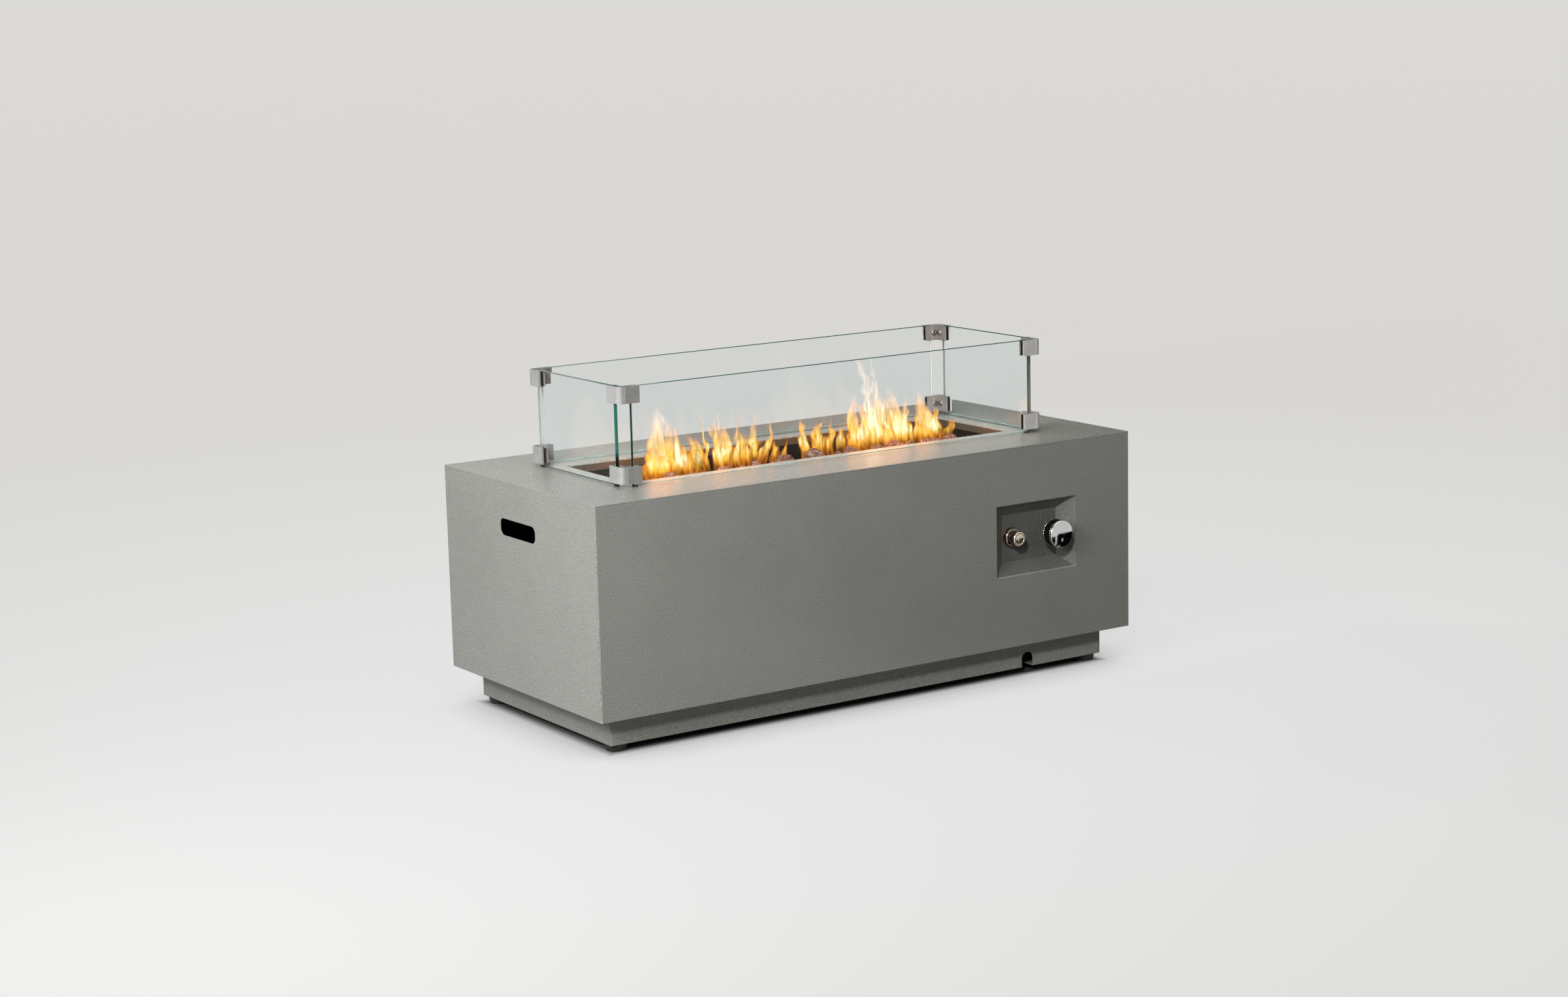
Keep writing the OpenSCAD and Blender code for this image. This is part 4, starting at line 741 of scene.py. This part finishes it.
# %% Ribbed knob
KNOB_SEGMENTS, RIB_COUNT, RIB_HEIGHT = 360, 36, 0.0007
DOME_EDGE, DOME_RISE = 0.0016, 0.0011
at, r, face, rear = round_part("gas_knob")
band_front, band_rear = face + 0.0068, rear - 0.0034
share = np.linspace(1, 0, 9)[:, None]
dome = share * [r - DOME_EDGE, 0] + share ** 2 * [0, DOME_RISE]
profile = np.concatenate([
    softened([(0.0045, rear), (r - 0.001, rear), (r - 0.0001, rear - 0.0009), (r - 0.0001, rear - 0.0024),
              (r - 0.0008, rear - 0.0029), (r - 0.0008, band_rear + 0.0001)], 0.0004, 4),
    np.column_stack([np.full(15, r - 0.0008), np.linspace(band_rear, band_front, 15)]),
    softened([(r - 0.0009, band_front - 0.0006), (r - 0.0001, band_front - 0.0012),
              (r - 0.0001, face + 0.0022), (r - 0.0008, face + 0.0012),
              (r - DOME_EDGE, face + 0.0012)], 0.0007),
    dome + [0, face]])
fade_in = np.clip((profile[:, 1] - band_front) / 0.0012 + 0.15, 0, 1)
fade_out = np.clip((rear - 0.0024 - profile[:, 1]) / 0.0005, 0, 1)
inside = fade_in * fade_out
wave = (0.5 + 0.5 * np.cos(RIB_COUNT * circle(KNOB_SEGMENTS))) ** 0.7
ribs = np.outer(np.sqrt(inside), RIB_HEIGHT * wave)
# painted reflection: the ribbed band and the collar's outer side get this darkened chrome
dark_mirror_chrome = metal("darkened chrome", (0.06, 0.06, 0.062), (0.04, 0.04, 0.042), 0.05, 0.12)
steps = np.column_stack([profile[:-1, 1], profile[1:, 1]])
dark_mirror_rows = (steps.min(1) > band_front - 0.0008) & ((inside[:-1] > 0.99) | (steps.max(1) > rear - 0.0023))
piece("ribbed_knob", [turned(profile, at, 1, KNOB_SEGMENTS, ribs)], [finish["chrome"], dark_mirror_chrome],
      "gas_knob", ["gas_knob"], ends=True, paint=dark_mirror_rows.astype(int), sharp=50)

# %% Igniter ring and igniter cap
CROWN_R, BORE_R = 0.0136, 0.0111
at, r, face, rear = round_part("igniter_ring")
arch = np.linspace(0, np.pi / 2, 14)
shoulder = rear - 0.0018
crown = np.column_stack([CROWN_R + (r - CROWN_R) * np.cos(arch), shoulder - (shoulder - face) * np.sin(arch)])
bell = np.concatenate([
    softened([(BORE_R, rear), (r - 0.0004, rear), (r, rear - 0.0008)], 0.0004), crown,
    softened([(0.0131, face), (0.0129, face + 0.0003), (0.0129, face + 0.004), (BORE_R, face + 0.004),
              (BORE_R, rear)], 0.0003)])
# a darker nickel: painted reflection of the dark recess around it
shaded_nickel = metal("shaded nickel", (0.36, 0.3, 0.235), (0.27, 0.22, 0.17), 0.05, 0.11)
piece("igniter_bell", [turned(bell, at, 1)], [shaded_nickel], "table", ["igniter_ring"])

CAP_BORE_R, CAP_FLOOR = 0.01107, 0.0045
at, r, face, rear = round_part("igniter_cap")
button = softened([
    (0.0001, face + CAP_FLOOR), (CAP_BORE_R, face + CAP_FLOOR), (CAP_BORE_R, rear), (r - 0.0002, rear),
    (r - 0.0002, face + 0.0042), (r, face + 0.0036), (r, face + 0.0012), (r - 0.0013, face),
    (r - 0.0034, face), (r - 0.0038, face + 0.0006), (r - 0.0043, face + 0.0003), (0.004, face + 0.0001),
    (0.0001, face)], 0.0006)
# the button's side gets the darker nickel as a painted reflection, its face the bright one
side = button[:-1, 1] > face + 0.0013
piece("igniter_button", [turned(button, at, 1)], [finish["nickel"], shaded_nickel], "igniter_cap",
      ["igniter_cap"], ends=True, paint=side.astype(int))

# %% [markdown]
# ## Springs
# Inside the valve and the igniter a coil spring pushes the moving piece back. The wire is round, so the
# surface is a small circle carried along a helix.

# %% Two coil springs
# name, CAD node, joint, wire radius, turns and travel
SPRINGS = [("return_coil", "valve_spring", "knob_push", 0.0007, 5, 0.005),
           ("igniter_coil", "igniter_spring", "igniter_push", 0.0005, 8, 0.004)]
TURN_STEPS, WIRE_SIDES = 48, 14


def coil(low, high, wire, turns):
    """Along the wire the angle and the place in y grow evenly; round the wire the radius and y swing by
    its own radius."""
    along = np.linspace(0, 1, TURN_STEPS * turns + 1)[:, None]
    ring = circle(WIRE_SIDES)[None, :]
    reach = (high[0] - low[0]) / 2 - wire + wire * np.cos(ring)
    angle = 2 * np.pi * turns * along
    y = low[1] + wire + (high[1] - low[1] - 2 * wire) * along + wire * np.sin(ring)
    middle = (low + high) / 2
    return np.stack([middle[0] + reach * np.cos(angle), y, middle[2] + reach * np.sin(angle)], -1)


for name, node, joint, wire, turns, travel in SPRINGS:
    low, high = box_of(node)
    spring = piece(name, [coil(low, high, wire, turns)], [finish["zinc"]], "table", [node],
                   ends=True, sharp=60)
    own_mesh(spring)

# %% [markdown]
# ## Turned-in edge of the control recess
# Where the front sheet is folded into the sunk panel its edge is round, and light runs along it as one
# thin bright line. A quarter-round bead is carried round the mouth: the outline at a row of insets and
# depths, closed into a ring. Its lower side gets a lighter coat, a painted highlight along that edge.

# %% Bead round the recess
FLANGE, BEAD = 0.014, 0.0013
low, high = box_of("control_tray")
mouth = np.array([(low[0] + high[0]) / 2, (low[2] + high[2]) / 2])
half = (high - low)[[0, 2]] / 2 - FLANGE
outline = round_outline(*half, 0.0006, 3)
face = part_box("front_panel")[0][1]
angle = np.linspace(0, np.pi / 2, 6)
pull = np.concatenate([BEAD * (1 - np.cos(angle)), [BEAD, 0.0, 0.0]])
sink = np.concatenate([BEAD * np.sin(angle), [BEAD + 0.001, 0.0016, 0.0]])
rings = np.stack([np.insert(inset(outline, d) + mouth, 1, face + s, axis=1) for d, s in zip(pull, sink)])
highlit_fold = coat("highlit fold", (0.4, 0.4, 0.375), (0.46, 0.46, 0.43), 2.0)
bead = piece("recess_bead", [rings], [finish["coat_body"], highlit_fold], "table", sharp=50)
# painted highlight: the lower side of the bead gets the lighter coat
lower_side = face_values(bead, "center")[:, 2] < mouth[1] - half[1] + 0.0015
bead.data.polygons.foreach_set("material_index", lower_side.astype(np.int32))

# %% [markdown]
# ## Rubber feet
# Each foot is a moulded pad, a little narrower where it meets the floor, with round edges and a hole
# for its screw. It is a turned profile repeated at the four corners.

# %% Four feet
SCREW_BORE_R, SINK_DEPTH = 0.0033, 0.006
pads = []
for centre, half in zip(*centres("rubber_feet")):
    base, top, r = centre[2] - half[2], centre[2] + half[2], half[0]
    section = [(SCREW_BORE_R, top), (r - 0.0004, top), (r, top - 0.003), (r - 0.0022, base), (0.0085, base),
               (0.008, base + SINK_DEPTH), (SCREW_BORE_R, base + SINK_DEPTH), (SCREW_BORE_R, top)]
    pads.append(turned(softened(section, 0.0016), centre, 2, 64))
piece("moulded_feet", pads, [finish["rubber_black"]], "table", ["rubber_feet"], sharp=45)

# %% [markdown]
# ## Lava rock
# Loose rock fills the pan and hides the burner. A rock is a ball whose radius depends on direction: a
# few broad waves give the lump, and shallow bowls pressed in at random give the broken bubbles. Rocks
# of the bed take their place and reach from a lump of the CAD node. The stones along the burner are
# listed, and one that reaches past the burner's end gets a rock below it. Chips fill the gaps between.

# %% Rocks and chips
rng = np.random.default_rng(7)
PAN_FLOOR = 0.3225
# how far below the highest rock the crest reaches, and how close two bed rocks with a chip between them are
CREST_DEPTH, CHIP_GAP = 0.02, 0.06
# rows, columns and pits of a rock
BED_GRID, CREST_GRID, CHIP_GRID = (21, 30, 16), (25, 36, 22), (9, 12, 5)
# stones along the burner: middle, top and half width in millimetres
CREST = [
    (-291, 389, 14), (-243, 394, 17), (-205, 391, 9), (-180, 389, 10), (-137, 394, 17), (-102, 389, 9),
    (-77, 396, 9), (-44, 390, 8), (-16, 399, 18), (26, 393, 9), (48, 401, 19), (95, 391, 8), (121, 396, 16),
    (158, 391, 11), (178, 397, 13), (214, 398, 18), (243, 394, 11), (280, 393, 14), (300, 392, 10),
    (331, 396, 17)]


def rock(centre, half, rows, cols, pits):
    """Radius by direction: 1 plus five waves with random directions, less a smooth bowl around each pit."""
    polar = np.linspace(0, np.pi, rows)[:, None]
    ring = circle(cols)[None, :]
    way = np.stack([np.sin(polar) * np.cos(ring), np.sin(polar) * np.sin(ring), np.cos(polar) + 0 * ring], -1)
    waves = rng.normal(size=(5, 3))
    lump = 1 + (0.055 * np.sin(way @ (2.6 * waves).T + rng.uniform(0, 6, 5))).sum(-1)
    holes = rng.normal(size=(pits, 3))
    holes /= np.linalg.norm(holes, axis=1, keepdims=True)
    wide = rng.uniform(0.16, 0.42, pits)
    bowl = np.exp(-((1 - way @ holes.T) / (0.5 * wide ** 2)) ** 2)
    shape = way * (lump - (0.28 * wide * bowl).sum(-1))[..., None]
    shape *= half / np.abs(shape).max((0, 1))
    return centre + shape


spots, halves = centres("lava_rock")
on_crest = spots[:, 2] > spots[:, 2].max() - CREST_DEPTH
bed, bed_half = spots[~on_crest], halves[~on_crest]
burner_half_x, burner_half_y, burner_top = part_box("burner")[1]
rocks = [rock(c, h, *BED_GRID) for c, h in zip(bed, bed_half)]
for x, top, wide in np.array(CREST) * 1e-3:
    if x + 0.5 * wide > burner_half_x:
        below = (burner_top + 0.004 - PAN_FLOOR) / 2
        rocks.append(rock((x + 0.003, 0, PAN_FLOOR + below), (0.0195, 0.024, below), *CREST_GRID))
    half_z = (top - burner_top) / 2
    middle = (x, rng.uniform(-0.006, 0.002), burner_top + half_z)
    rocks.append(rock(middle, (wide, wide + 0.004, half_z), *CREST_GRID))
chips = []
for a, b in zip(bed[:-1], bed[1:]):
    if np.linalg.norm(a - b) < CHIP_GAP:
        size = rng.uniform(0.007, 0.011, 3)
        middle = (*((a + b) / 2)[:2], PAN_FLOOR + size[2] + rng.uniform(0, 0.012))
        chips.append(rock(middle, size, *CHIP_GRID))
piece("lava_rocks", rocks + chips, [finish["rock"]], "table", ["lava_rock"], sharp=75)
print("rocks:", len(rocks), "chips:", len(chips), "burner top at", round(burner_top, 4))

# %% [markdown]
# ## Loose fill
# The bed is topped up with smaller rocks that are dropped one by one at random places. A dropped ball
# comes to rest on the first thing it meets: the pan, the burner or a ball that already lies there. Places
# where it would stand too high, or touch the probes, are left out. Then each ball becomes a rock.

# %% Drop the fill
drop = np.random.default_rng(19)
DROPS, PROBE_ROOM, FILL_GRID = 2600, 0.02, (13, 18, 9)
# how high the fill may stand on the burner, in front of it and behind it
TOP_ON_BURNER, TOP_IN_FRONT, TOP_BEHIND = 0.3765, 0.372, 0.357
probes = box_of("probe_bracket")[:, :2] + [[-PROBE_ROOM], [PROBE_ROOM]]
reach = np.abs(bed[:, :2]).max(0) + 0.002
balls = [(*c, h.min()) for c, h in zip(bed, bed_half)]
balls += [(x, -0.002, burner_top + 0.8 * wide, wide) for x, _, wide in np.array(CREST) * 1e-3]
fill = []
for _ in range(DROPS):
    x, y = drop.uniform(-reach, reach)
    on_burner = abs(x) < burner_half_x and abs(y) < burner_half_y
    r = drop.uniform(0.005, 0.0075) if on_burner else drop.uniform(0.008, 0.013)
    beside = abs(x) > burner_half_x + r or abs(y) > burner_half_y + r
    near_probes = (probes[0] < (x, y)).all() and (probes[1] > (x, y)).all()
    if near_probes or not (on_burner or beside):
        continue
    others = np.array(balls)
    gap = (r + others[:, 3]) ** 2 - (others[:, 0] - x) ** 2 - (others[:, 1] - y) ** 2
    rest = others[gap > 0, 2] + np.sqrt(gap[gap > 0])
    z = max([(burner_top if on_burner else PAN_FLOOR) + r, *rest])
    if z + r < (TOP_ON_BURNER if on_burner else TOP_IN_FRONT if y < 0 else TOP_BEHIND):
        balls.append((x, y, z, r))
        fill.append(rock((x, y, z), r * drop.uniform(0.95, 1.12, 3), *FILL_GRID))
piece("lava_fill", fill, [finish["rock"]], "table", sharp=75)
print("dropped rocks:", len(fill))

# %% [markdown]
# ## Fire
# Gas flames are thin bright sheets, not solids. Each group of flames is three wavy curtains along the
# burner, with short cross sheets so that it also reads from the ends. The pattern is worked out on the
# grid: every tongue leans, swells and tapers, the tongues add up to a density, and the density gives
# colour and alpha, stored as an attribute that the material reads.

# %% Tongues of fire
FIRE_BASE = 0.372
# base x, tip x, tip z, half width, all in millimetres
LEFT_TONGUES = [
    (-286, -278, 462, 18), (-266, -269, 509, 25), (-246, -250, 480, 27), (-225, -226, 456, 22),
    (-206, -222, 432, 14), (-186, -214, 455, 14), (-172, -188, 500, 5), (-151, -151, 486, 13),
    (-135, -141, 465, 12), (-111, -118, 476, 12), (-93, -97, 444, 11), (-74, -78, 474, 10),
    (-60, -46, 460, 9), (-38, -39, 424, 8), (-20, -17, 421, 7), (-303, -306, 405, 13)]
RIGHT_TONGUES = [
    (26, 27, 455, 10), (53, 48, 451, 11), (79, 78, 449, 12), (103, 106, 436, 11), (129, 125, 488, 13),
    (150, 137, 458, 15), (172, 141, 555, 16), (190, 166, 508, 15), (206, 146, 566, 6), (214, 180, 492, 16),
    (233, 204, 490, 16), (248, 228, 474, 13), (266, 262, 440, 15), (290, 267, 478, 20), (310, 303, 446, 15),
    (324, 331, 419, 14)]


def ease(value, low, high):
    """Smooth step from 0 at low to 1 at high."""
    s = np.clip((value - low) / (high - low), 0, 1)
    return s * s * (3 - 2 * s)


def swirl(x, z, seed):
    """Soft random field: a sum of eight waves with random directions, lengths and phases."""
    mine = np.random.default_rng(seed)
    ways = mine.normal(size=(8, 2)) * [[150, 90]]
    return sum(np.sin(a * x + b * z + p) for (a, b), p in zip(ways, mine.uniform(0, 6.3, 8))) / 8


def fire_field(x, z, tongues, seed):
    """Cover and heat at each point. Every tongue has a centre line that leans and wavers more with height,
    and a width that swells and then runs to a point; its foot is hollow, so only its flanks show there."""
    cover, heat = np.zeros(x.shape), np.zeros(x.shape)
    waver = 12 * swirl(x, z, seed) + 5 * swirl(2.3 * x, 2.3 * z, seed + 9)
    bent = x * 1e3 + waver * ease(z, FIRE_BASE, FIRE_BASE + 0.05)
    full = ease(z, FIRE_BASE + 0.01, FIRE_BASE + 0.04)
    for k, (base, tip, top, width) in enumerate(tongues):
        s = np.clip((z - FIRE_BASE) / (top * 1e-3 - FIRE_BASE), 0, 1)
        middle = base + (tip - base) * s ** 1.4 + 0.4 * width * np.sin(6 * s + 1.9 * k) * s
        half = width * np.sin(np.pi * (0.04 + 0.96 * s ** 0.72)) ** (0.6 + 0.6 * s) + 0.3
        off = np.abs(bent - middle) / half
        body = 1 - ease(off, 0.5, 1.0)
        flank = np.exp(-((off - 0.75) / 0.18) ** 2)
        out = (s < 1) * (1 - s ** 3)
        cover += out * (body * (0.1 + 0.9 * full) + 0.6 * flank * (1 - full) * ease(s, 0, 0.06))
        heat += out * body ** 1.5 * full * (1 - 0.5 * ease(s, 0.55, 1.0))
    return cover, heat


def fire_colour(field, x, z, seed):
    """Deep orange where thin, yellow, then cream where hot; paler and thinner with height."""
    cover, heat = field
    heat = (heat * (1 + 0.9 * swirl(1.7 * x, 0.5 * z, seed + 1)))[..., None]
    tall = ease(z, FIRE_BASE + 0.045, FIRE_BASE + 0.12)[..., None]
    thin, mid, hot, pale = np.array([[0.78, 0.22, 0.009], [1.2, 0.6, 0.07], [1.35, 1.12, 0.6],
                                     [1.03, 0.88, 0.78]])
    tone = thin + (mid - thin) * ease(heat, 0, 0.6) + (hot - mid) * ease(heat, 0.6, 1.35)
    tone = tone + (pale - tone) * tall * 0.88
    foot = ease(z, FIRE_BASE, FIRE_BASE + 0.05)
    alpha = (1 - np.exp(-(0.7 + 2.3 * foot) * cover))[..., None] * (1 - 0.45 * tall)
    return np.concatenate([tone, alpha], -1)


# %% Sheets of fire
FIRE_DEPTH = 0.022
# a sheet is moved right by this share of its depth, along the camera's line of sight
SIDE_SHARE = 0.67


def curtain(tongues, depth, low_x, high_x, shift, shrink, cols, rows, seed):
    """A wavy sheet along the burner: its grid and its fire colours. shrink scales the tongues' heights in
    turn, and 0 leaves a tongue out; shift moves every other tongue the other way."""
    mine = []
    for k, (base, tip, top, width) in enumerate(tongues):
        scale = shrink[k % len(shrink)]
        move = shift * (-1) ** k
        if scale:
            foot = FIRE_BASE * 1e3
            mine.append((base + move, tip + 1.3 * move, foot + (top - foot) * scale, width))
    highest = max(t[2] for t in mine) * 1e-3
    x, z = np.meshgrid(np.linspace(low_x, high_x, cols), np.linspace(FIRE_BASE, highest, rows))
    y = depth + 0.004 * np.sin(x * 70 + depth * 300) + 0.003 * np.sin(z * 60 + x * 35)
    colour = fire_colour(fire_field(x, z, mine, seed), x, z, seed)
    return np.stack([x + SIDE_SHARE * depth, y, z], -1), colour


def cross_sheet(tongue, cols=22, rows=44, seed=5):
    """A short sheet across the burner with one tongue on it."""
    base, tip, top, width = tongue
    side = 1.6e-3 * width
    y, z = np.meshgrid(np.linspace(-side, side, cols), np.linspace(FIRE_BASE, top * 1e-3, rows))
    s = (z - FIRE_BASE) / (top * 1e-3 - FIRE_BASE)
    x = (base + (tip - base) * s ** 1.4) * 1e-3
    cover, heat = fire_field(y, z, [(0, 0.2 * width, top, width)], seed)
    colour = fire_colour((0.5 * cover, heat), y, z, seed)
    return np.stack([x + SIDE_SHARE * FIRE_DEPTH, y + FIRE_DEPTH, z], -1), colour


# each curtain's distance from the middle one, step of the seed, shift, shrink, columns and rows
CURTAINS = [(0, 0, 0, (1.0,), 190, 96), (-0.011, 2, 2, (0, 0.5, 0, 0), 150, 44),
            (0.011, 4, -3, (0.45, 0, 0.58, 0), 150, 54)]
sheets = []
for group, low_x, high_x, seed in ((LEFT_TONGUES, -0.315, 0.002, 11), (RIGHT_TONGUES, 0.006, 0.35, 23)):
    for away, step, *pattern in CURTAINS:
        sheets.append(curtain(group, FIRE_DEPTH + away, low_x, high_x, *pattern, seed + step))
    sheets += [cross_sheet(t) for t in group[1::3]]
print("fire sheets:", len(sheets))


# %% Flames
def glowing(shader, colour):
    """Lets the shader give off this colour."""
    feed(shader, {"Emission Color": colour, "Emission Strength": 1.0})


def fire_finish():
    """Light with no surface: the stored colour is given off, its alpha broken up by rising streaks. Mirrors
    see the flames brighter."""
    made, tree, shader = start("gas flame")
    stored = add(tree, "Attribute", attribute_name="fire").outputs
    streaks = noise(on_surface(tree, (1, 1, 0.14)), 190, 3, 0.6, 0.35)
    bounces = add(tree, "LightPath").outputs["Glossy Depth"]
    mirrored = blend(span(bounces, 0, 1), (1, 1, 1), (3.4, 2.4, 1.9))
    glow = shaded(mirrored, span(streaks, 0.32, 0.66, 0.72, 1.45))
    surface(shader, (0, 0, 0), 1.0, 0.0)
    glowing(shader, blend(1.0, stored["Color"], glow, "MULTIPLY"))
    feed(shader, {"Alpha": sums("MULTIPLY", stored["Alpha"], span(streaks, 0.36, 0.56, 0.6, 1))})
    return made


flames = piece("flames", [s[0] for s in sheets], [fire_finish()], "table", closed=False, sharp=180)
store = flames.data.color_attributes.new("fire", "FLOAT_COLOR", "POINT")
colours = np.concatenate([s[1].reshape(-1, 4) for s in sheets])
store.data.foreach_set("color", colours.astype(np.float32).reshape(-1))
flames.visible_shadow = False
print("fire points:", len(colours))

# %% [markdown]
# ## Floor and cards
# A plain pale floor carries the shadow. It gives off its own light to what sees it directly, so that it
# looks evenly lit, and only a little of it to the table. Its glow is painted dark under the plinth and
# darker near the table: painted shadow. Cards that only reflections see give chrome something to mirror:
# a dark one on the floor, a dark flag behind and three pale strips.

# %% Floor
# half length and half width of the floor under the plinth, whose glow is painted dark as painted shadow
DARK_HALF = (0.49, 0.205)


def flat_sheet(name, corners, material):
    """A flat stage sheet with these corners."""
    mesh = bpy.data.meshes.new(name)
    mesh.from_pydata(corners, [], [tuple(range(len(corners)))])
    mesh.materials.append(material)
    made = show(name, mesh)
    return made


def seen_rays(tree):
    """1 for rays from the camera, off a mirror or through glass; 0 for rays that carry light to a surface."""
    rays = add(tree, "LightPath").outputs
    direct = sums("MAXIMUM", rays["Is Camera Ray"], rays["Is Glossy Ray"])
    return sums("MAXIMUM", direct, rays["Is Transmission Ray"])


ground, tree, shader = start("pale floor")
spot = add(tree, "TexCoord").outputs["Object"]
away = add(tree, "VectorMath", {0: spot}, operation="LENGTH").outputs["Value"]
pale = blend(span(away, 0.8, 3.2), (0.66, 0.66, 0.66), (0.606, 0.598, 0.57))
# painted shadow: the floor's glow is dimmed by occlusion near the table and cut to dark under the plinth
contact_shade = add(tree, "AmbientOcclusion", {"Distance": 0.16}, samples=8).outputs["AO"]
beside = [sums("SUBTRACT", sums("ABSOLUTE", part), half) for part, half in zip(xyz(spot), DARK_HALF)]
outside_painted_dark = span(sums("MAXIMUM", *beside), 0.0, 0.02)
painted_shade_glow = sums("MULTIPLY", sums("MULTIPLY", span(seen_rays(tree), 0, 1, 0.08, 1), outside_painted_dark),
           span(contact_shade, 0.1, 0.75, 0.5, 1.0))
surface(shader, (0.1, 0.1, 0.1), 0.9, 0.1)
glowing(shader, shaded(pale, painted_shade_glow))
floor = flat_sheet("floor", [(-200, -200, 0), (200, -200, 0), (200, 200, 0), (-200, 200, 0)], ground)
print("floor:", floor.dimensions.to_tuple(0))

# %% Cards for reflections
dark, _, shader = start("dark card")
surface(shader, (0.002, 0.002, 0.002), 1.0, 0.0)
pale_strip, _, shader = start("pale strip")
surface(shader, (0, 0, 0), 0.5)
glowing(shader, (0.6, 0.6, 0.58))
# corners of the card (x, y), of the flag (x, z) and of the strips (x, y)
CARD = [(0.15, -0.4), (0.4, -1.5), (0.95, -1.22), (1.075, -1.3), (1.09, -1.375),
        (1.62, -1.05), (1.1, -0.3)]
FLAG = [(1.45, 0.2), (4.8, 0.2), (4.8, 2.4), (1.45, 2.4)]
STRIPS = [[(1.03, -1.29), (0.985, -1.29), (0.735, -0.86), (0.75, -0.85)],
          [(0.975, -0.98), (0.955, -0.998), (0.875, -0.885), (0.89, -0.875)],
          [(0.715, -0.805), (0.76, -0.765), (0.77, -0.775), (0.725, -0.815)]]
cards = [flat_sheet("reflection_card", [(x, y, 0.004) for x, y in CARD], dark),
         flat_sheet("shade_flag", [(x, 3.0, z) for x, z in FLAG], dark)]
for k, shape in enumerate(STRIPS):
    cards.append(flat_sheet("pale_strip_" + str(k), [(x, y, 0.006) for x, y in shape], pale_strip))
for card in cards:
    for ray in ("camera", "diffuse", "shadow", "transmission", "volume_scatter"):
        setattr(card, "visible_" + ray, False)
print("cards:", [card.name for card in cards])

# %% [markdown]
# ## Lamps and world
# Broad lamps like a studio's light the table from the left and from above, so the left end and the top
# are lighter than the front. A narrow, slightly warm lamp in front gives the knob its shadow. A second
# one from the same side lights the sunk panel only. Two warm balls of light stand for the fire's glow.

# %% Suns and softbox
FRONT = (-0.62, -0.6, 0.5)


def aimed(z, side):
    """Axes of a lamp that shines along -z: x is square to z and to side."""
    z = np.array(z, float) / np.linalg.norm(z)
    x = np.cross(side, z)
    x /= np.linalg.norm(x)
    return x, np.cross(z, x), z


def sun(name, towards, strength, spread, colour=(1, 1, 1)):
    """A far lamp that shines from the given direction; spread is its width in degrees."""
    lamp = bpy.data.lights.new(name, "SUN")
    lamp.energy, lamp.angle, lamp.color = strength, np.radians(spread), colour
    made = show(name, lamp)
    made.matrix_world = placed(aimed(towards, (0.3, 1, 0.1)), (0, 0, 0))
    return made


sun("overhead", (0.0, 0.05, 1.0), 0.4 * np.pi, 60)
sun("front_spark", FRONT, 0.34 * np.pi, 6, (1.0, 0.95, 0.915))
panel_spark = sun("panel_spark", FRONT, 0.5 * np.pi, 3)
sunk = bpy.data.collections.new("sunk panel")
sunk.objects.link(cad["control_tray"])
for name in ("ribbed_knob", "igniter_bell", "igniter_button"):
    sunk.objects.link(scene.objects[name])
panel_spark.light_linking.receiver_collection = sunk

softbox = bpy.data.lights.new("softbox", "AREA")
softbox.shape, softbox.size, softbox.energy = "SQUARE", 0.9, 35.5
place, target = np.array([-1.75, -0.8, 1.12]), np.array([0.0, 0.0, 0.25])
show("softbox", softbox).matrix_world = placed(aimed(place - target, (0, 0, 1)), place)


# %% Glow of the fire, and the world
def ember(name, place, power):
    """A warm ball of light; mirrors and the camera don't see it."""
    lamp = bpy.data.lights.new(name, "POINT")
    lamp.energy, lamp.shadow_soft_size, lamp.color = power, 0.03, (1.0, 0.5, 0.17)
    made = show(name, lamp)
    made.location = place
    made.visible_camera = made.visible_glossy = made.visible_transmission = False


ember("left_glow", (-0.2, -0.02, 0.455), 0.42)
ember("right_glow", (0.21, -0.02, 0.465), 0.6)

world = bpy.data.worlds.new("studio")
scene.world = world
world.use_nodes = True
sky = blend(seen_rays(world.node_tree), (0.085, 0.085, 0.085), (0.702, 0.695, 0.665))
feed(world.node_tree.nodes["Background"], {"Color": sky})
print("lamps:", [lamp.name for lamp in bpy.data.lights])
